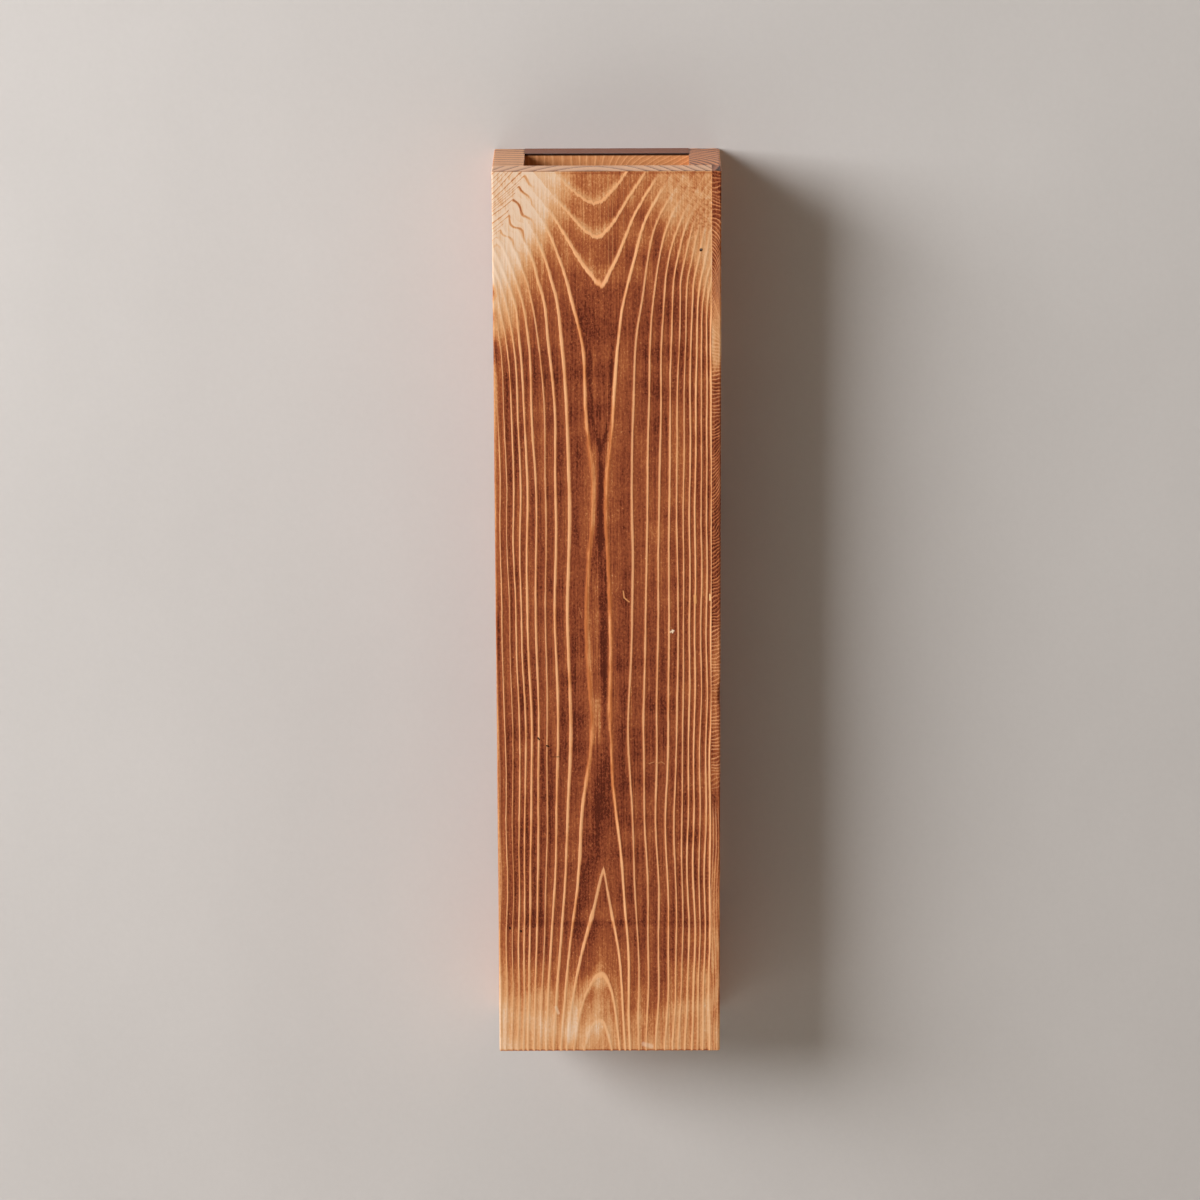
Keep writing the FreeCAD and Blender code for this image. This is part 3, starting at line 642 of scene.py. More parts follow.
    def swirl(self, surface: Surface) -> Array:
        """The two upper corners, the dark left edge and the point of the lower arch."""
        x, z = surface.x, surface.z
        left = smoothstep(curve(z, self.cream_edge) - x, -8, 6) * smoothstep(z, 22, 52)
        edge = 0.85 * smoothstep(-x, 69, 71.2)
        edge = edge * smoothstep(-z, -12, 20) * smoothstep(z, -490, -440)
        point = Patch(-3.5, -398, 11, 24, 0.3).read(x, z)
        right = smoothstep(x + 0.9 * (z - 46), 46, 66) * smoothstep(z, 22, 46)
        return np.maximum.reduce([left, right, edge, point])

    def chevron(self, surface: Surface) -> Array:
        """The chevrons of the pale corner, counted upwards by the height of their tips.

        The tips lie along a leaning line. A point belongs to the tip height
        z + slope * (distance from that line), with one slope on each side of it.
        """
        x, z = surface.x, surface.z
        away = x - (-67 + 0.39 * (z - 42.5)) + 1.3 * waves(51, x, z, 14, 18)
        left, right = -1.25 - 0.5 * smoothstep(z, 45, 75), 0.86 - 0.2 * smoothstep(z, 55, 75)
        tip = z + np.where(away < 0, left, right) * away
        return np.interp(tip, (0, 33, 42.5, 51.5, 62, 70.5, 77, 200), (-4, -1, 0, 1, 2, 3, 4, 14))

    def fade(self, surface: Surface) -> Array:
        """Full over the face, less on the arrises, and none at the joints."""
        joint = smoothstep(FRONT_JOINT - surface.y, 0.0, 3.0)
        strip = smoothstep(STRIP_JOINT - surface.x, 0.0, 0.8)
        return joint * surface.flatness * strip

    def extra_relief(self, surface: Surface) -> Array:
        """The open brad hole at the top right, with steep walls."""
        away = np.hypot(surface.x - BRAD_HOLE[0], surface.z - BRAD_HOLE[1])
        front = surface.facing[:, 1] < -0.9
        return 2.0 * (1 - smoothstep(away, 0.5, 0.75)) * front


@dataclass
class LogGrain(Grain):
    """Rings as a slice of a straight log with a slight sway.

    The ring number is the distance from the log's heart over the ring spacing, plus a
    taper with height, so a face near a ring's own direction shows arches.
    """

    heart: tuple[float, float] = (0.0, 200.0)
    spacing: float = 6.0
    taper: float = 0.0
    level: float = 0.86
    top_level: float = 0.6
    end_base: float = 0.16
    seed: int = 21

    def ring(self, x: Array, y: Array, z: Array) -> Array:
        """Distance from the heart over the spacing, with the taper and the sway."""
        sway = 1.6 * waves(self.seed, z, np.zeros(1), 260, 1e6, 3)
        far = np.hypot(x - self.heart[0] - sway, y - self.heart[1] - 0.6 * sway)
        return (far / self.spacing + self.taper * (z - MIDDLE_HEIGHT) / BOX_HEIGHT
                + 0.12 * waves(self.seed + 1, x + y, z, 50, 150))

    def scorch(self, surface: Surface) -> Array:
        """Brown on the outer face, paler towards both ends, light on the sawn ends."""
        x, y, z = surface.at.T
        level = curve(z, ((80, self.top_level), (30, self.level - 0.06), (-20, self.level),
                          (-420, self.level), (-470, self.level - 0.15), (-510, 0.4)))
        level = level + 0.06 * waves(self.seed + 2, y, z, 25, 130)
        level = level + 0.04 * waves(self.seed + 3, y, z, 8, 50)
        on_end = smoothstep(surface.end_on, 0.55, 0.9)
        return level + (self.end_level(surface) - level) * on_end

    def end_level(self, surface: Surface) -> Array:
        """How brown the sawn ends are: darker at the back and along both joints."""
        joint = bell(np.abs(surface.x), SIDE_INNER, 0.8) * (surface.y > -21)
        lip = bell(surface.y, FRONT_JOINT, 0.7)
        return (self.end_base + 0.3 * smoothstep(surface.y, -24, 0) + 0.7 * joint + 0.4 * lip
                + 0.05 * waves(9, surface.x, surface.y, 9, 12))

    def fade(self, surface: Surface) -> Array:
        """No relief at the joint, the wall and the inner face, and less on the arrises."""
        joint = smoothstep(surface.y - FRONT_JOINT, -0.5, 2.0) * smoothstep(-surface.y, -0.2, 1.5)
        inside = smoothstep(np.abs(surface.x), SIDE_INNER, SIDE_INNER + 1)
        return joint * inside * surface.flatness


@dataclass
class StripGrain(Grain):
    """The narrow strip on the front's right edge: short cross grain over long grain.

    Above the change its lines cross the strip, tilted by a slope that follows the
    height. Below the change they run along it.
    """

    line_width: float = 0.55
    depth: float = 0.25
    seed: int = 41
    pitch: float = 2.5
    long_pitch: float = 1.7
    change: float = -335.0
    # where the chip is, and by how many millimetres a cross line rises over the width
    chip: float = -265.0
    rise: Points = (
        (80, -0.5), (55, -1.5), (35, -8), (15, -16), (-5, -26), (-30, -4), (-60, 0.5), (-80, 1.5),
        (-95, 5), (-120, 8), (-160, 5), (-200, 3), (-260, 1))
    level: Points = (
        (80, 0.96), (70, 0.94), (55, 0.88), (40, 0.82), (20, 0.84), (0, 0.74), (-14, 0.52),
        (-20, 0.42), (-42, 0.44), (-50, 0.66), (-75, 0.84), (-95, 0.95), (-130, 0.99),
        (-195, 0.99), (-212, 0.93), (-225, 0.75), (-260, 0.71), (-310, 0.75), (-335, 0.79),
        (-390, 0.63), (-430, 0.48), (-500, 0.44), (-510, 0.4))

    def ring(self, x: Array, y: Array, z: Array) -> Array:
        """Cross lines (z - rise * share of width) / pitch above, x / long_pitch below."""
        share = (x - STRIP_JOINT) / STRIP_WIDTH
        cross = (z - curve(z, self.rise) * share * (0.4 + 0.6 * share)) / self.pitch
        behind = y - FRONT_FACE
        cross = cross + 0.25 * waves(self.seed, x, z, 14, 16) - 0.02 * behind
        along = (x + 0.5 * waves(self.seed + 1, x, z, 30, 70) - 0.1 * behind) / self.long_pitch
        return cross + (along - cross) * (z < self.change)

    def scorch(self, surface: Surface) -> Array:
        """The level by height, dark at the top arris and round the chip."""
        x, z = surface.x, surface.z
        level = curve(z, self.level) + 0.07 * waves(self.seed + 2, x, z, 7, 30)
        level = level + 0.5 * bell(z, 78.4, 1.3)
        level = level + 0.3 * bell(z, self.chip, 9) * smoothstep(x, 70, 72.5)
        on_end = smoothstep(surface.end_on, 0.55, 0.95)
        return level + (0.62 - level) * on_end

    def swirl(self, surface: Surface) -> Array:
        """The lines fade out on both sides of the change of grain."""
        return bell(surface.z, self.change, 9)

    def fade(self, surface: Surface) -> Array:
        """No relief at the joints with the front and side boards."""
        beside = smoothstep(surface.x - STRIP_JOINT, 0.0, 0.5)
        return beside * smoothstep(FRONT_JOINT - surface.y, 0.0, 3.0)

    def extra_relief(self, surface: Surface) -> Array:
        """A shallow chip off the outer arris, a little below half height."""
        chip = np.exp(-((surface.z - self.chip) / 7) ** 4) * smoothstep(surface.x, 70.5, 72.5)
        return 0.7 * chip * smoothstep(-70 - surface.y, 0, 8)


# ---------------------------------------------------------------- finishes

class Term:
    """A value in a node tree. Arithmetic on it adds Math nodes."""

    def __init__(self, graph: "Graph", socket: bpy.types.NodeSocket) -> None:
        """Wraps an output socket of a graph's node."""
        self.graph, self.socket = graph, socket

    def __add__(self, other: "Value") -> "Term":
        """This plus another."""
        return self.graph.math("ADD", self, other)

    def __sub__(self, other: "Value") -> "Term":
        """This less another."""
        return self.graph.math("SUBTRACT", self, other)

    def __rsub__(self, other: "Value") -> "Term":
        """Another less this."""
        return self.graph.math("SUBTRACT", other, self)

    def __mul__(self, other: "Value") -> "Term":
        """This times another."""
        return self.graph.math("MULTIPLY", self, other)

    def __abs__(self) -> "Term":
        """This without its sign."""
        return self.graph.math("ABSOLUTE", self)

    def __lt__(self, other: "Value") -> "Term":
        """1 where this is the smaller, 0 elsewhere."""
        return self.graph.math("LESS_THAN", self, other)

    def __gt__(self, other: "Value") -> "Term":
        """1 where this is the larger, 0 elsewhere."""
        return self.graph.math("GREATER_THAN", self, other)

    def at_least(self, low: "Value") -> "Term":
        """The larger of this and another."""
        return self.graph.math("MAXIMUM", self, low)

    def at_most(self, high: "Value") -> "Term":
        """The smaller of this and another."""
        return self.graph.math("MINIMUM", self, high)

    def fraction(self) -> "Term":
        """What is over the whole number below this."""
        return self.graph.math("FRACT", self)

    __radd__ = __add__
    __rmul__ = __mul__


Value = Term | float


class Graph:
    """A node tree that grows by terms."""

    def __init__(self, tree: bpy.types.NodeTree) -> None:
        """Takes the node tree of a material or the world."""
        self.tree = tree

    def feed(self, socket: bpy.types.NodeSocket, value: object) -> None:
        """Links a socket to a term, or sets its own value."""
        if isinstance(value, Term):
            self.tree.links.new(value.socket, socket)
        else:
            socket.default_value = value

    def node(self, kind: str, feeds: dict | None = None, **settings: object) -> bpy.types.Node:
        """A new node of a kind, with its settings and what its inputs take."""
        node = self.tree.nodes.new(kind)
        for key, value in settings.items():
            setattr(node, key, value)
        for key, value in (feeds or {}).items():
            self.feed(node.inputs[key], value)
        return node

    def term(self, node: bpy.types.Node, output: int | str = 0) -> Term:
        """What a node puts out."""
        return Term(self, node.outputs[output])

    def math(self, operation: str, *values: Value) -> Term:
        """A Math node over one to three values."""
        feeds = dict(enumerate(values))
        return self.term(self.node("ShaderNodeMath", feeds, operation=operation))

    def vector(self, operation: str, feeds: dict, output: int | str = 0) -> Term:
        """A Vector Math node."""
        return self.term(self.node("ShaderNodeVectorMath", feeds, operation=operation), output)

    def blend(self, share: Value, first: Term, second: Term, output: str) -> None:
        """Shows a mix of two shaders at the tree's output node of that name."""
        node = self.node("ShaderNodeMixShader", {0: share, 1: first, 2: second})
        self.feed(self.tree.nodes[output].inputs["Surface"], self.term(node))


class Shader(Graph):
    """A material's tree, with one short method for each kind of node."""

    def __init__(self, name: str) -> None:
        """Makes a material with one Principled surface."""
        self.material = bpy.data.materials.new(name)
        self.material.use_nodes = True
        super().__init__(self.material.node_tree)
        self.surface = self.tree.nodes["Principled BSDF"]

    def smooth(self, value: Value, low: Value, high: Value) -> Term:
        """0 below low, 1 above high and an S curve between them."""
        feeds = {"Value": value, "From Min": low, "From Max": high}
        node = self.node("ShaderNodeMapRange", feeds, interpolation_type="SMOOTHSTEP")
        return self.term(node, "Result")

    def near(self, value: Term, middle: float, reach: float) -> Term:
        """1 round a middle value, falling to 0 at the reach on both sides of it."""
        return self.smooth(abs(value - middle), reach, 0.45 * reach)

    def millimetres(self) -> Term:
        """The point in the part's frame, in millimetres."""
        metres = self.term(self.node("ShaderNodeTexCoord"), "Object")
        return self.stretch(metres, (1000, 1000, 1000))

    def stretch(self, vector: Term, factors: tuple) -> Term:
        """A vector times a factor on each axis."""
        return self.vector("MULTIPLY", {0: vector, 1: factors})

    def split(self, vector: Term) -> tuple[Term, ...]:
        """A vector's three parts."""
        node = self.node("ShaderNodeSeparateXYZ", {0: vector})
        return tuple(Term(self, part) for part in node.outputs)

    def join(self, **parts: Value) -> Term:
        """A vector from its parts x, y and z, with 0 for one that isn't given."""
        feeds = {key.upper(): part for key, part in parts.items()}
        return self.term(self.node("ShaderNodeCombineXYZ", feeds))

    def noise(self, vector: Term, factors: tuple, detail: float = 3, rough: float = 0.55,
              bend: float = 0.0) -> Term:
        """Noise about zero, mostly within -0.5 and 0.5, stretched by a factor on each axis."""
        node = self.node("ShaderNodeTexNoise", {
            "Vector": self.stretch(vector, factors), "Scale": 1.0, "Detail": detail,
            "Roughness": rough, "Distortion": bend})
        return self.math("MULTIPLY_ADD", self.term(node, "Fac"), 1.6, -0.8)

    def attribute(self, name: str) -> Term:
        """A value of the mesh's own points."""
        return self.term(self.node("ShaderNodeAttribute", attribute_name=name), "Fac")

    def ramp(self, value: Value, stops: Stops) -> Term:
        """A colour by value, through display colours at stops."""
        node = self.node("ShaderNodeValToRGB", {"Fac": value})
        elements = node.color_ramp.elements
        while len(elements) < len(stops):
            elements.new(0.5)
        for element, (place, colour) in zip(elements, stops):
            element.position = place
            element.color = linear(colour)
        return self.term(node, "Color")

    def mix(self, share: Value, first: object, second: object) -> Term:
        """A blend of two colours."""
        feeds = {"Factor": share, 6: first, 7: second}
        return self.term(self.node("ShaderNodeMix", feeds, data_type="RGBA"), 2)

    def stroke(self, x: Term, z: Term, mark: "Mark") -> Term:
        """How much a mark covers each point.

        The nearest point of the stroke is start + t * run, where t is the share of the
        run that lies before the point, held between 0 and 1. The cover falls from full
        to none as the distance to it grows from a third of the width to the width.
        """
        place = self.join(x=x - mark.x0, z=z - mark.z0)
        run = Vector((mark.x1 - mark.x0, 0, mark.z1 - mark.z0))
        share = self.vector("DOT_PRODUCT", {0: place, 1: tuple(run / run.length_squared)}, "Value")
        nearest = self.vector("SCALE", {0: tuple(run), "Scale": share.at_least(0.0).at_most(1.0)})
        distance = self.vector("DISTANCE", {0: place, 1: nearest}, "Value")
        return self.smooth(distance, mark.width, mark.width / 3) * mark.strength

    def bump(self, height: Term, distance: float, strength: float) -> None:
        """Bumps the surface by a height from 0 to 1 times a distance in millimetres."""
        feeds = {"Height": height, "Distance": distance * MM, "Strength": strength}
        self.feed(self.surface.inputs["Normal"], self.term(self.node("ShaderNodeBump", feeds)))

    def dress(self, colour: Term, roughness: Value, metallic: float = 0.0,
              specular: float = 0.5) -> bpy.types.Material:
        """Sets the surface's colour, roughness, metal share and specular level."""
        inputs = self.surface.inputs
        self.feed(inputs["Base Color"], colour)
        self.feed(inputs["Roughness"], roughness)
        self.feed(inputs["Metallic"], metallic)
        self.feed(inputs["Specular IOR Level"], specular)
        return self.material


SCORCHED_GROUND: Stops = (
    (0.00, (233, 202, 175)), (0.10, (229, 189, 153)), (0.25, (220, 163, 114)),
    (0.38, (208, 144, 94)), (0.52, (184, 110, 65)), (0.66, (161, 87, 51)),
    (0.80, (141, 71, 43)), (0.92, (120, 55, 34)), (1.00, (88, 37, 22)),
)
SCORCHED_LINES: Stops = (
    (0.00, (240, 210, 182)), (0.25, (234, 186, 140)), (0.50, (240, 177, 123)),
    (0.75, (249, 184, 132)), (0.90, (234, 154, 98)), (1.00, (202, 118, 66)),
)


@dataclass(frozen=True)
class Mark:
    """A small mark on a face: a stroke between two (x, z) points, in one colour."""

    x0: float
    z0: float
    x1: float
    z1: float
    width: float
    colour: Rgb
    strength: float = 1.0


# dark pitch for the flecks, also used as painted shade in the open brad hole
PITCH_AND_HOLE_SHADE: Rgb = (44, 18, 10)
FRONT_MARKS: tuple[Mark, ...] = (
    Mark(-45.9, -293.9, -45.1, -295.0, 0.75, PITCH_AND_HOLE_SHADE),
    Mark(-40.3, -299.2, -39.0, -299.7, 0.8, PITCH_AND_HOLE_SHADE),
    Mark(-36.2, -306.9, -31.7, -306.6, 0.7, (96, 44, 26), 0.6),
    Mark(-65.4, -423.8, -65.2, -424.6, 0.95, PITCH_AND_HOLE_SHADE),
    Mark(-58.1, -426.0, -57.9, -426.6, 0.95, PITCH_AND_HOLE_SHADE),
    Mark(40.4, -222.6, 42.4, -221.9, 0.8, (250, 222, 190)),
    Mark(41.6, -221.4, 41.8, -223.2, 0.6, (250, 222, 190)),
    Mark(56.3, -198.4, 56.5, -203.0, 1.3, (228, 162, 104)),
    Mark(65.9, -197.6, 66.0, -201.4, 0.7, (244, 196, 140)),
    Mark(9.9, -195.2, 10.4, -199.6, 0.6, (214, 146, 92)),
    Mark(10.4, -199.6, 13.6, -202.4, 0.6, (214, 146, 92)),
    Mark(26.4, -311.6, 29.8, -310.4, 0.4, (204, 138, 90), 0.8),
    Mark(30.6, -311.6, 33.6, -311.0, 0.4, (204, 138, 90), 0.7),
    Mark(34.2, -310.3, 36.6, -311.8, 0.4, (204, 138, 90), 0.7),
    Mark(-35.4, -479.0, -33.8, -483.4, 1.3, (236, 196, 158), 0.8),
    Mark(22.6, -505.0, 27.6, -506.6, 2.2, (236, 204, 176), 0.45),
    Mark(-18.8, -206.4, -16.9, -213.1, 0.45, (186, 112, 72), 0.8),
    # painted shade: the open brad hole darkened as if in shadow
    Mark(*BRAD_HOLE, BRAD_HOLE[0] + 0.1, BRAD_HOLE[1] + 0.1, 1.4, PITCH_AND_HOLE_SHADE),
    Mark(-4.2, 70.0, -4.0, 44.0, 0.4, (222, 156, 100), 0.25),
    Mark(1.0, 78.2, 1.3, 12.0, 0.45, (226, 162, 104), 0.25),
    Mark(3.6, 62.0, 3.8, 20.0, 0.4, (226, 162, 104), 0.3),
    Mark(10.8, 78.2, 10.9, 30.0, 0.4, (228, 166, 110), 0.25),
    Mark(14.6, 77.0, 14.8, 56.0, 0.35, (222, 160, 106), 0.3),
)


@dataclass(frozen=True)
class ScorchedPine:
    """Softwood browned by flame and brushed: ring lines stay light, the rest goes brown.

    It reads the mesh's ring, gap, climb, scorch, swirl, chevron and end values. Round
    pair_height, as far as pair_reach, the innermost pair of lines is broad and orange.
    """

    name: str
    line: float = 0.39
    line_share: float = 0.042
    line_strength: float = 0.72
    glow: float = 0.2
    fray: float = 2.8
    end_light: Rgb = (212, 168, 136)
    end_dark: Rgb = (150, 100, 72)
    end_contrast: float = 1.0
    pair_height: float = -200.0
    pair_reach: float = 0.001
    marks: tuple[Mark, ...] = ()

    def curls(self, shade: Shader, x: Term, z: Term) -> Term:
        """Fine bent fibres that run down to the right, as noise stretched that way."""
        return shade.noise(shade.join(x=z * -0.8 + x, z=x * 0.8 + z), (0.09, 1.0, 0.8), 3, 0.6, 0.5)

    def material(self) -> bpy.types.Material:
        """Builds the finish.

        The distance from the nearest ring line is (ring - nearest whole number) * gap,
        positive on the outer side, where a line ends sharply. On the inner side it
        fades into a glow. Columns of fibre shift the rings up and down, which frays
        the arches. Each line has its own width and brightness, drawn by its number.
        """
        shade = Shader(self.name)
        at = shade.millimetres()
        x, _, z = shade.split(at)
        smooth, near = shade.smooth, shade.near
        ring, gap, scorch, end, climb, swirl, chevron = (shade.attribute(name) for name in (
            "ring", "gap", "scorch", "end", "climb", "swirl", "chevron"))

        fibre = shade.noise(at, (1.0, 1.0, 0.02), 3, 0.7)
        streak = shade.noise(at, (0.4, 0.4, 0.008), 2, 0.5)
        mottle = shade.noise(at, (0.75, 0.75, 0.5), 3, 0.75)
        drift = shade.noise(at, (0.06, 0.06, 0.014), 2)
        ragged = shade.noise(at, (0.7, 0.7, 0.09), 2, 0.6)
        specks = shade.noise(at, (1.2, 1.2, 1.0), 2, 0.6)
        columns = shade.noise(at, (0.9, 0.9, 0.03), 3, 0.7)

        # the swirled corners: bent fibres on the right and chevrons on the left, with
        # twice as many lines on the outer side of their tips
        tanned = swirl * smooth(x, 0.0, 12.0)
        beyond_tips = z * -0.39 + x < -83.6
        past_tip = ((chevron + ragged * 0.06) * (beyond_tips + 1.0) + 0.5).fraction()
        tip_line = 1.0 - smooth(abs(past_tip - 0.5), 0.03, 0.13)
        cornered = swirl * smooth(x, -44.0, -54.0) * smooth(z, 0.0, 18.0)

        # the nearest ring line, its own luck and the distance from it
        ring = ring + climb * (columns * self.fray)
        number = shade.math("ROUND", ring)
        half_board = (x > -4.0) * 53.0
        own = shade.node("ShaderNodeTexWhiteNoise", {"W": number + half_board + 0.5},
                         noise_dimensions="1D")
        luck = shade.term(own, "Value")
        among_pair = near(z, self.pair_height, self.pair_reach)
        pair = among_pair * (abs(number) < 0.5)
        signed = (ring - number) * gap + ragged * (pair * 1.5 + 0.35)
        inner = signed * -1.0
        away = (signed * 1.5).at_least(inner)

        # how wide the line is, slimmer at two of the arches' points and at the left edge
        widest = near(z, 6.0, 26.0) * -13.0 + (near(z, -396.0, 30.0) * -22.0 + 30.0)
        half = gap.at_most(widest) * self.line_share + self.line
        half = half * (smooth(x, -70.0, -50.0) * 0.42 + 0.58) * (pair * 0.3 + 1.0)
        half = half * (luck * 0.5 + 0.75) * (drift * 0.5 + 1.0)
        on_line = 1.0 - smooth(away, half * 0.5, half * 1.55)
        core = 1.0 - smooth(away, 0.0, half)
        arch = smooth(abs(climb * gap), 0.3, 0.85)
        reach = arch * (gap - 8.0).at_least(0.0) * 0.5 + (half + 1.1)
        glow = smooth(inner, -0.2, 0.3) * (1.0 - smooth(inner, half, reach)) * (1.0 - swirl)
        rising = ring.fraction() - 0.5
        within = among_pair * smooth(ring, 0.0, -0.15)

        level = (scorch + fibre * 0.36 + streak * 0.18 + mottle * (scorch * 0.5 + 0.1)
                 + self.curls(shade, x, z) * tanned * 0.34
                 + tip_line * cornered * (drift * 0.5 + 0.4) + past_tip * cornered * -0.1
                 + drift * 0.14 + glow * (scorch * 0.9 + 0.3) * (arch * -0.16 - self.glow)
                 + rising * 0.15 + within * streak * 0.55
                 + smooth(specks, 0.13, 0.44) * (scorch * -0.42) + smooth(fibre, 0.2, 0.55) * -0.06)
        ground = shade.ramp(level, SCORCHED_GROUND)
        lines = shade.ramp(scorch + fibre * 0.16 + mottle * 0.1 + core * -0.1 + pair * 0.3,
                           SCORCHED_LINES)
        strength = on_line * (luck * 0.35 + self.line_strength) * (pair * -0.2 + 1.0)
        strength = strength * (smooth(scorch, 0.12, 0.5) * 0.5 + 0.5) * (swirl * -0.92 + 1.0)
        colour = shade.mix(strength, ground, lines)
        for mark in self.marks:
            colour = shade.mix(shade.stroke(x, z, mark), colour, linear(mark.colour))

        figure = on_line * 0.385 + rising * -0.8 + mottle * 0.35 - 0.08
        darkest = tuple(0.45 * part for part in self.end_dark)
        sawn = shade.ramp(scorch + figure * self.end_contrast + 0.06,
                          ((0.0, self.end_light), (0.7, self.end_dark), (1.0, darkest)))
        colour = shade.mix(smooth(end, 0.6, 0.92), colour, sawn)
        shade.bump(fibre * 0.6 + mottle * 0.5, 0.16, 0.6)
        return shade.dress(colour, mottle * 0.08 + 0.66, specular=0.06)


@dataclass(frozen=True)
class PlanedPine:
    """Planed softwood, lightly browned, with straight grain along Z."""

    name: str
    light: Rgb
    dark: Rgb

    def material(self) -> bpy.types.Material:
        """Builds the finish: bands across the grain, fibres and faint saw marks."""
        shade = Shader(self.name)
        at = shade.millimetres()
        x, y, _ = shade.split(at)
        across = x + y * 0.7 + shade.noise(at, (0.03, 0.03, 0.006), 2) * 14.0
        bands = shade.math("SINE", across * 1.1)
        fibre = shade.noise(at, (1.4, 1.4, 0.05), 4, 0.6)
        mottle = shade.noise(at, (0.8, 0.8, 0.5), 3)
        colour = shade.ramp(bands * 0.16 + fibre * 0.45 + mottle * 0.25 + 0.45,
                            ((0.0, self.light), (1.0, self.dark)))
        shade.bump(fibre + bands * 0.3, 0.12, 0.5)
        return shade.dress(colour, fibre * 0.08 + 0.66)


@dataclass(frozen=True)
class BackPine:
    """The back board: planed faces, a browned top end and a dark line along its arris in the mouth.

    front is where its inner face lies along Y, and top is the height of its top end.
    """

    name: str
    front: float
    top: float
    light: Rgb = (246, 178, 122)
    dark: Rgb = (184, 106, 56)
    outer_light: Rgb = (198, 142, 100)
    outer_dark: Rgb = (140, 86, 54)
    end: Rgb = (114, 56, 24)
    mouth_arris_dark: Rgb = (40, 19, 12)

    def material(self) -> bpy.types.Material:
        """Builds the finish.

        Rings show as light lines at whole numbers of across / 5.5 mm, where across
        leans over with height near the top, more so towards the right.
        """
        shade = Shader(self.name)
        at = shade.millimetres()
        x, y, z = shade.split(at)
        under_top = (z - self.top).at_least(-28.0)
        lean = shade.smooth(x, -10.0, 30.0) * -1.7
        across = x + under_top * lean + y * 0.35 + shade.noise(at, (0.05, 0.05, 0.03), 2) * 5.0
        past = (across * (1 / 5.5)).fraction()
        ridge = 1.0 - shade.smooth(abs(past - 0.5), 0.03, 0.17)
        fibre = shade.noise(at, (1.3, 1.3, 0.04), 4, 0.6)
        mottle = shade.noise(at, (0.7, 0.7, 0.4), 3)
        level = past * 0.16 + ridge * -0.42 + fibre * 0.4 + mottle * 0.3 + 0.46
        inner = shade.ramp(level, ((0.0, self.light), (1.0, self.dark)))
        outer = shade.ramp(level, ((0.0, self.outer_light), (1.0, self.outer_dark)))
        face = shade.mix(shade.smooth(y, self.front + 1, self.front + 4), inner, outer)
        sawn = shade.ramp(shade.noise(at, (0.02, 0.55, 0.4), 3, 0.6) + 0.45, (
            (0.0, tuple(part * 1.15 for part in self.end)),
            (1.0, tuple(part * 0.72 for part in self.end))))
        colour = shade.mix(shade.smooth(z, self.top - 0.5, self.top - 0.1), face, sawn)
        # a dark line along the arris between the top end and the inner face
        from_arris = shade.join(y=y - self.front, z=z - self.top)
        from_arris = shade.vector("LENGTH", {0: from_arris}, "Value")
        colour = shade.mix(shade.smooth(from_arris, 1.9, 0.8), colour, linear(self.mouth_arris_dark))
        shade.bump(fibre + ridge, 0.12, 0.5)
        return shade.dress(colour, fibre * 0.08 + 0.7, specular=0.06)


@dataclass(frozen=True)
class Plywood:
    """Thin plywood: a plain face and stacked plies on the edge."""

    name: str
    top: float
    thickness: float
    plies: int = 5

    def material(self) -> bpy.types.Material:
        """Builds the finish, with ply lines by depth under the top face."""
        shade = Shader(self.name)
        at = shade.millimetres()
        _, _, z = shade.split(at)
        stack = (z * (self.plies / self.thickness / 2)).fraction() < 0.5
        under = 1.0 - shade.smooth(z, self.top - 0.3, self.top - 0.05)
        fibre = shade.noise(at, (0.1, 1.4, 0.8), 4, 0.6)
        level = fibre * 0.5 + stack * under * 0.35 + 0.4
        shade.bump(fibre, 0.1, 0.5)
        return shade.dress(shade.ramp(level, ((0.0, (226, 196, 156)), (1.0, (168, 124, 82)))), 0.7)


@dataclass(frozen=True)
class MattePlastic:
    """Moulded dark plastic with a fine spark-eroded grain."""

    name: str
    lighter: Rgb = (61, 59, 57)
    darker: Rgb = (37, 35, 33)

    def material(self) -> bpy.types.Material:
        """Builds the finish: an even colour with a soft mottle and a fine bump."""
        shade = Shader(self.name)
        at = shade.millimetres()
        grain = shade.noise(at, (3.0, 3.0, 3.0), 3, 0.7)
        cloud = shade.noise(at, (0.04, 0.04, 0.03), 2)
        colour = shade.ramp(grain * 0.35 + cloud * 0.3 + 0.5,
                            ((0.0, self.darker), (1.0, self.lighter)))
        shade.bump(grain, 0.08, 0.6)
        return shade.dress(colour, grain * 0.1 + 0.5)


@dataclass(frozen=True)
class ZincSteel:
    """Zinc-plated steel with fine drawn lines."""

    name: str
    light: Rgb = (205, 207, 210)
    dark: Rgb = (150, 153, 158)
    roughness: float = 0.34

    def material(self) -> bpy.types.Material:
        """Builds the finish: drawn lines along Z with a mottled passivation."""
        shade = Shader(self.name)
        at = shade.millimetres()
        drawn = shade.noise(at, (6.0, 6.0, 0.4), 3, 0.6)
        cloud = shade.noise(at, (0.35, 0.35, 0.3), 3)
        colour = shade.ramp(drawn * 0.4 + cloud * 0.6 + 0.5, ((0.0, self.dark), (1.0, self.light)))
        shade.bump(drawn, 0.03, 0.4)
        return shade.dress(colour, cloud * 0.12 + self.roughness, metallic=1.0)


# ---------------------------------------------------------------- the planter

def dress_node(node: str, finish: bpy.types.Material) -> None:
    """Gives a piece of the fixed frame a finish."""
    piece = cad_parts[node]
    piece.data.materials.clear()
    piece.data.materials.append(finish)
    LOG.info("%s dressed in %s", node, finish.name)


def millimetre_box(node: str) -> tuple[Array, Array]:
    """A node's lowest and highest corners in millimetres."""
    low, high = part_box(node)
    return np.array(low) / MM, np.array(high) / MM


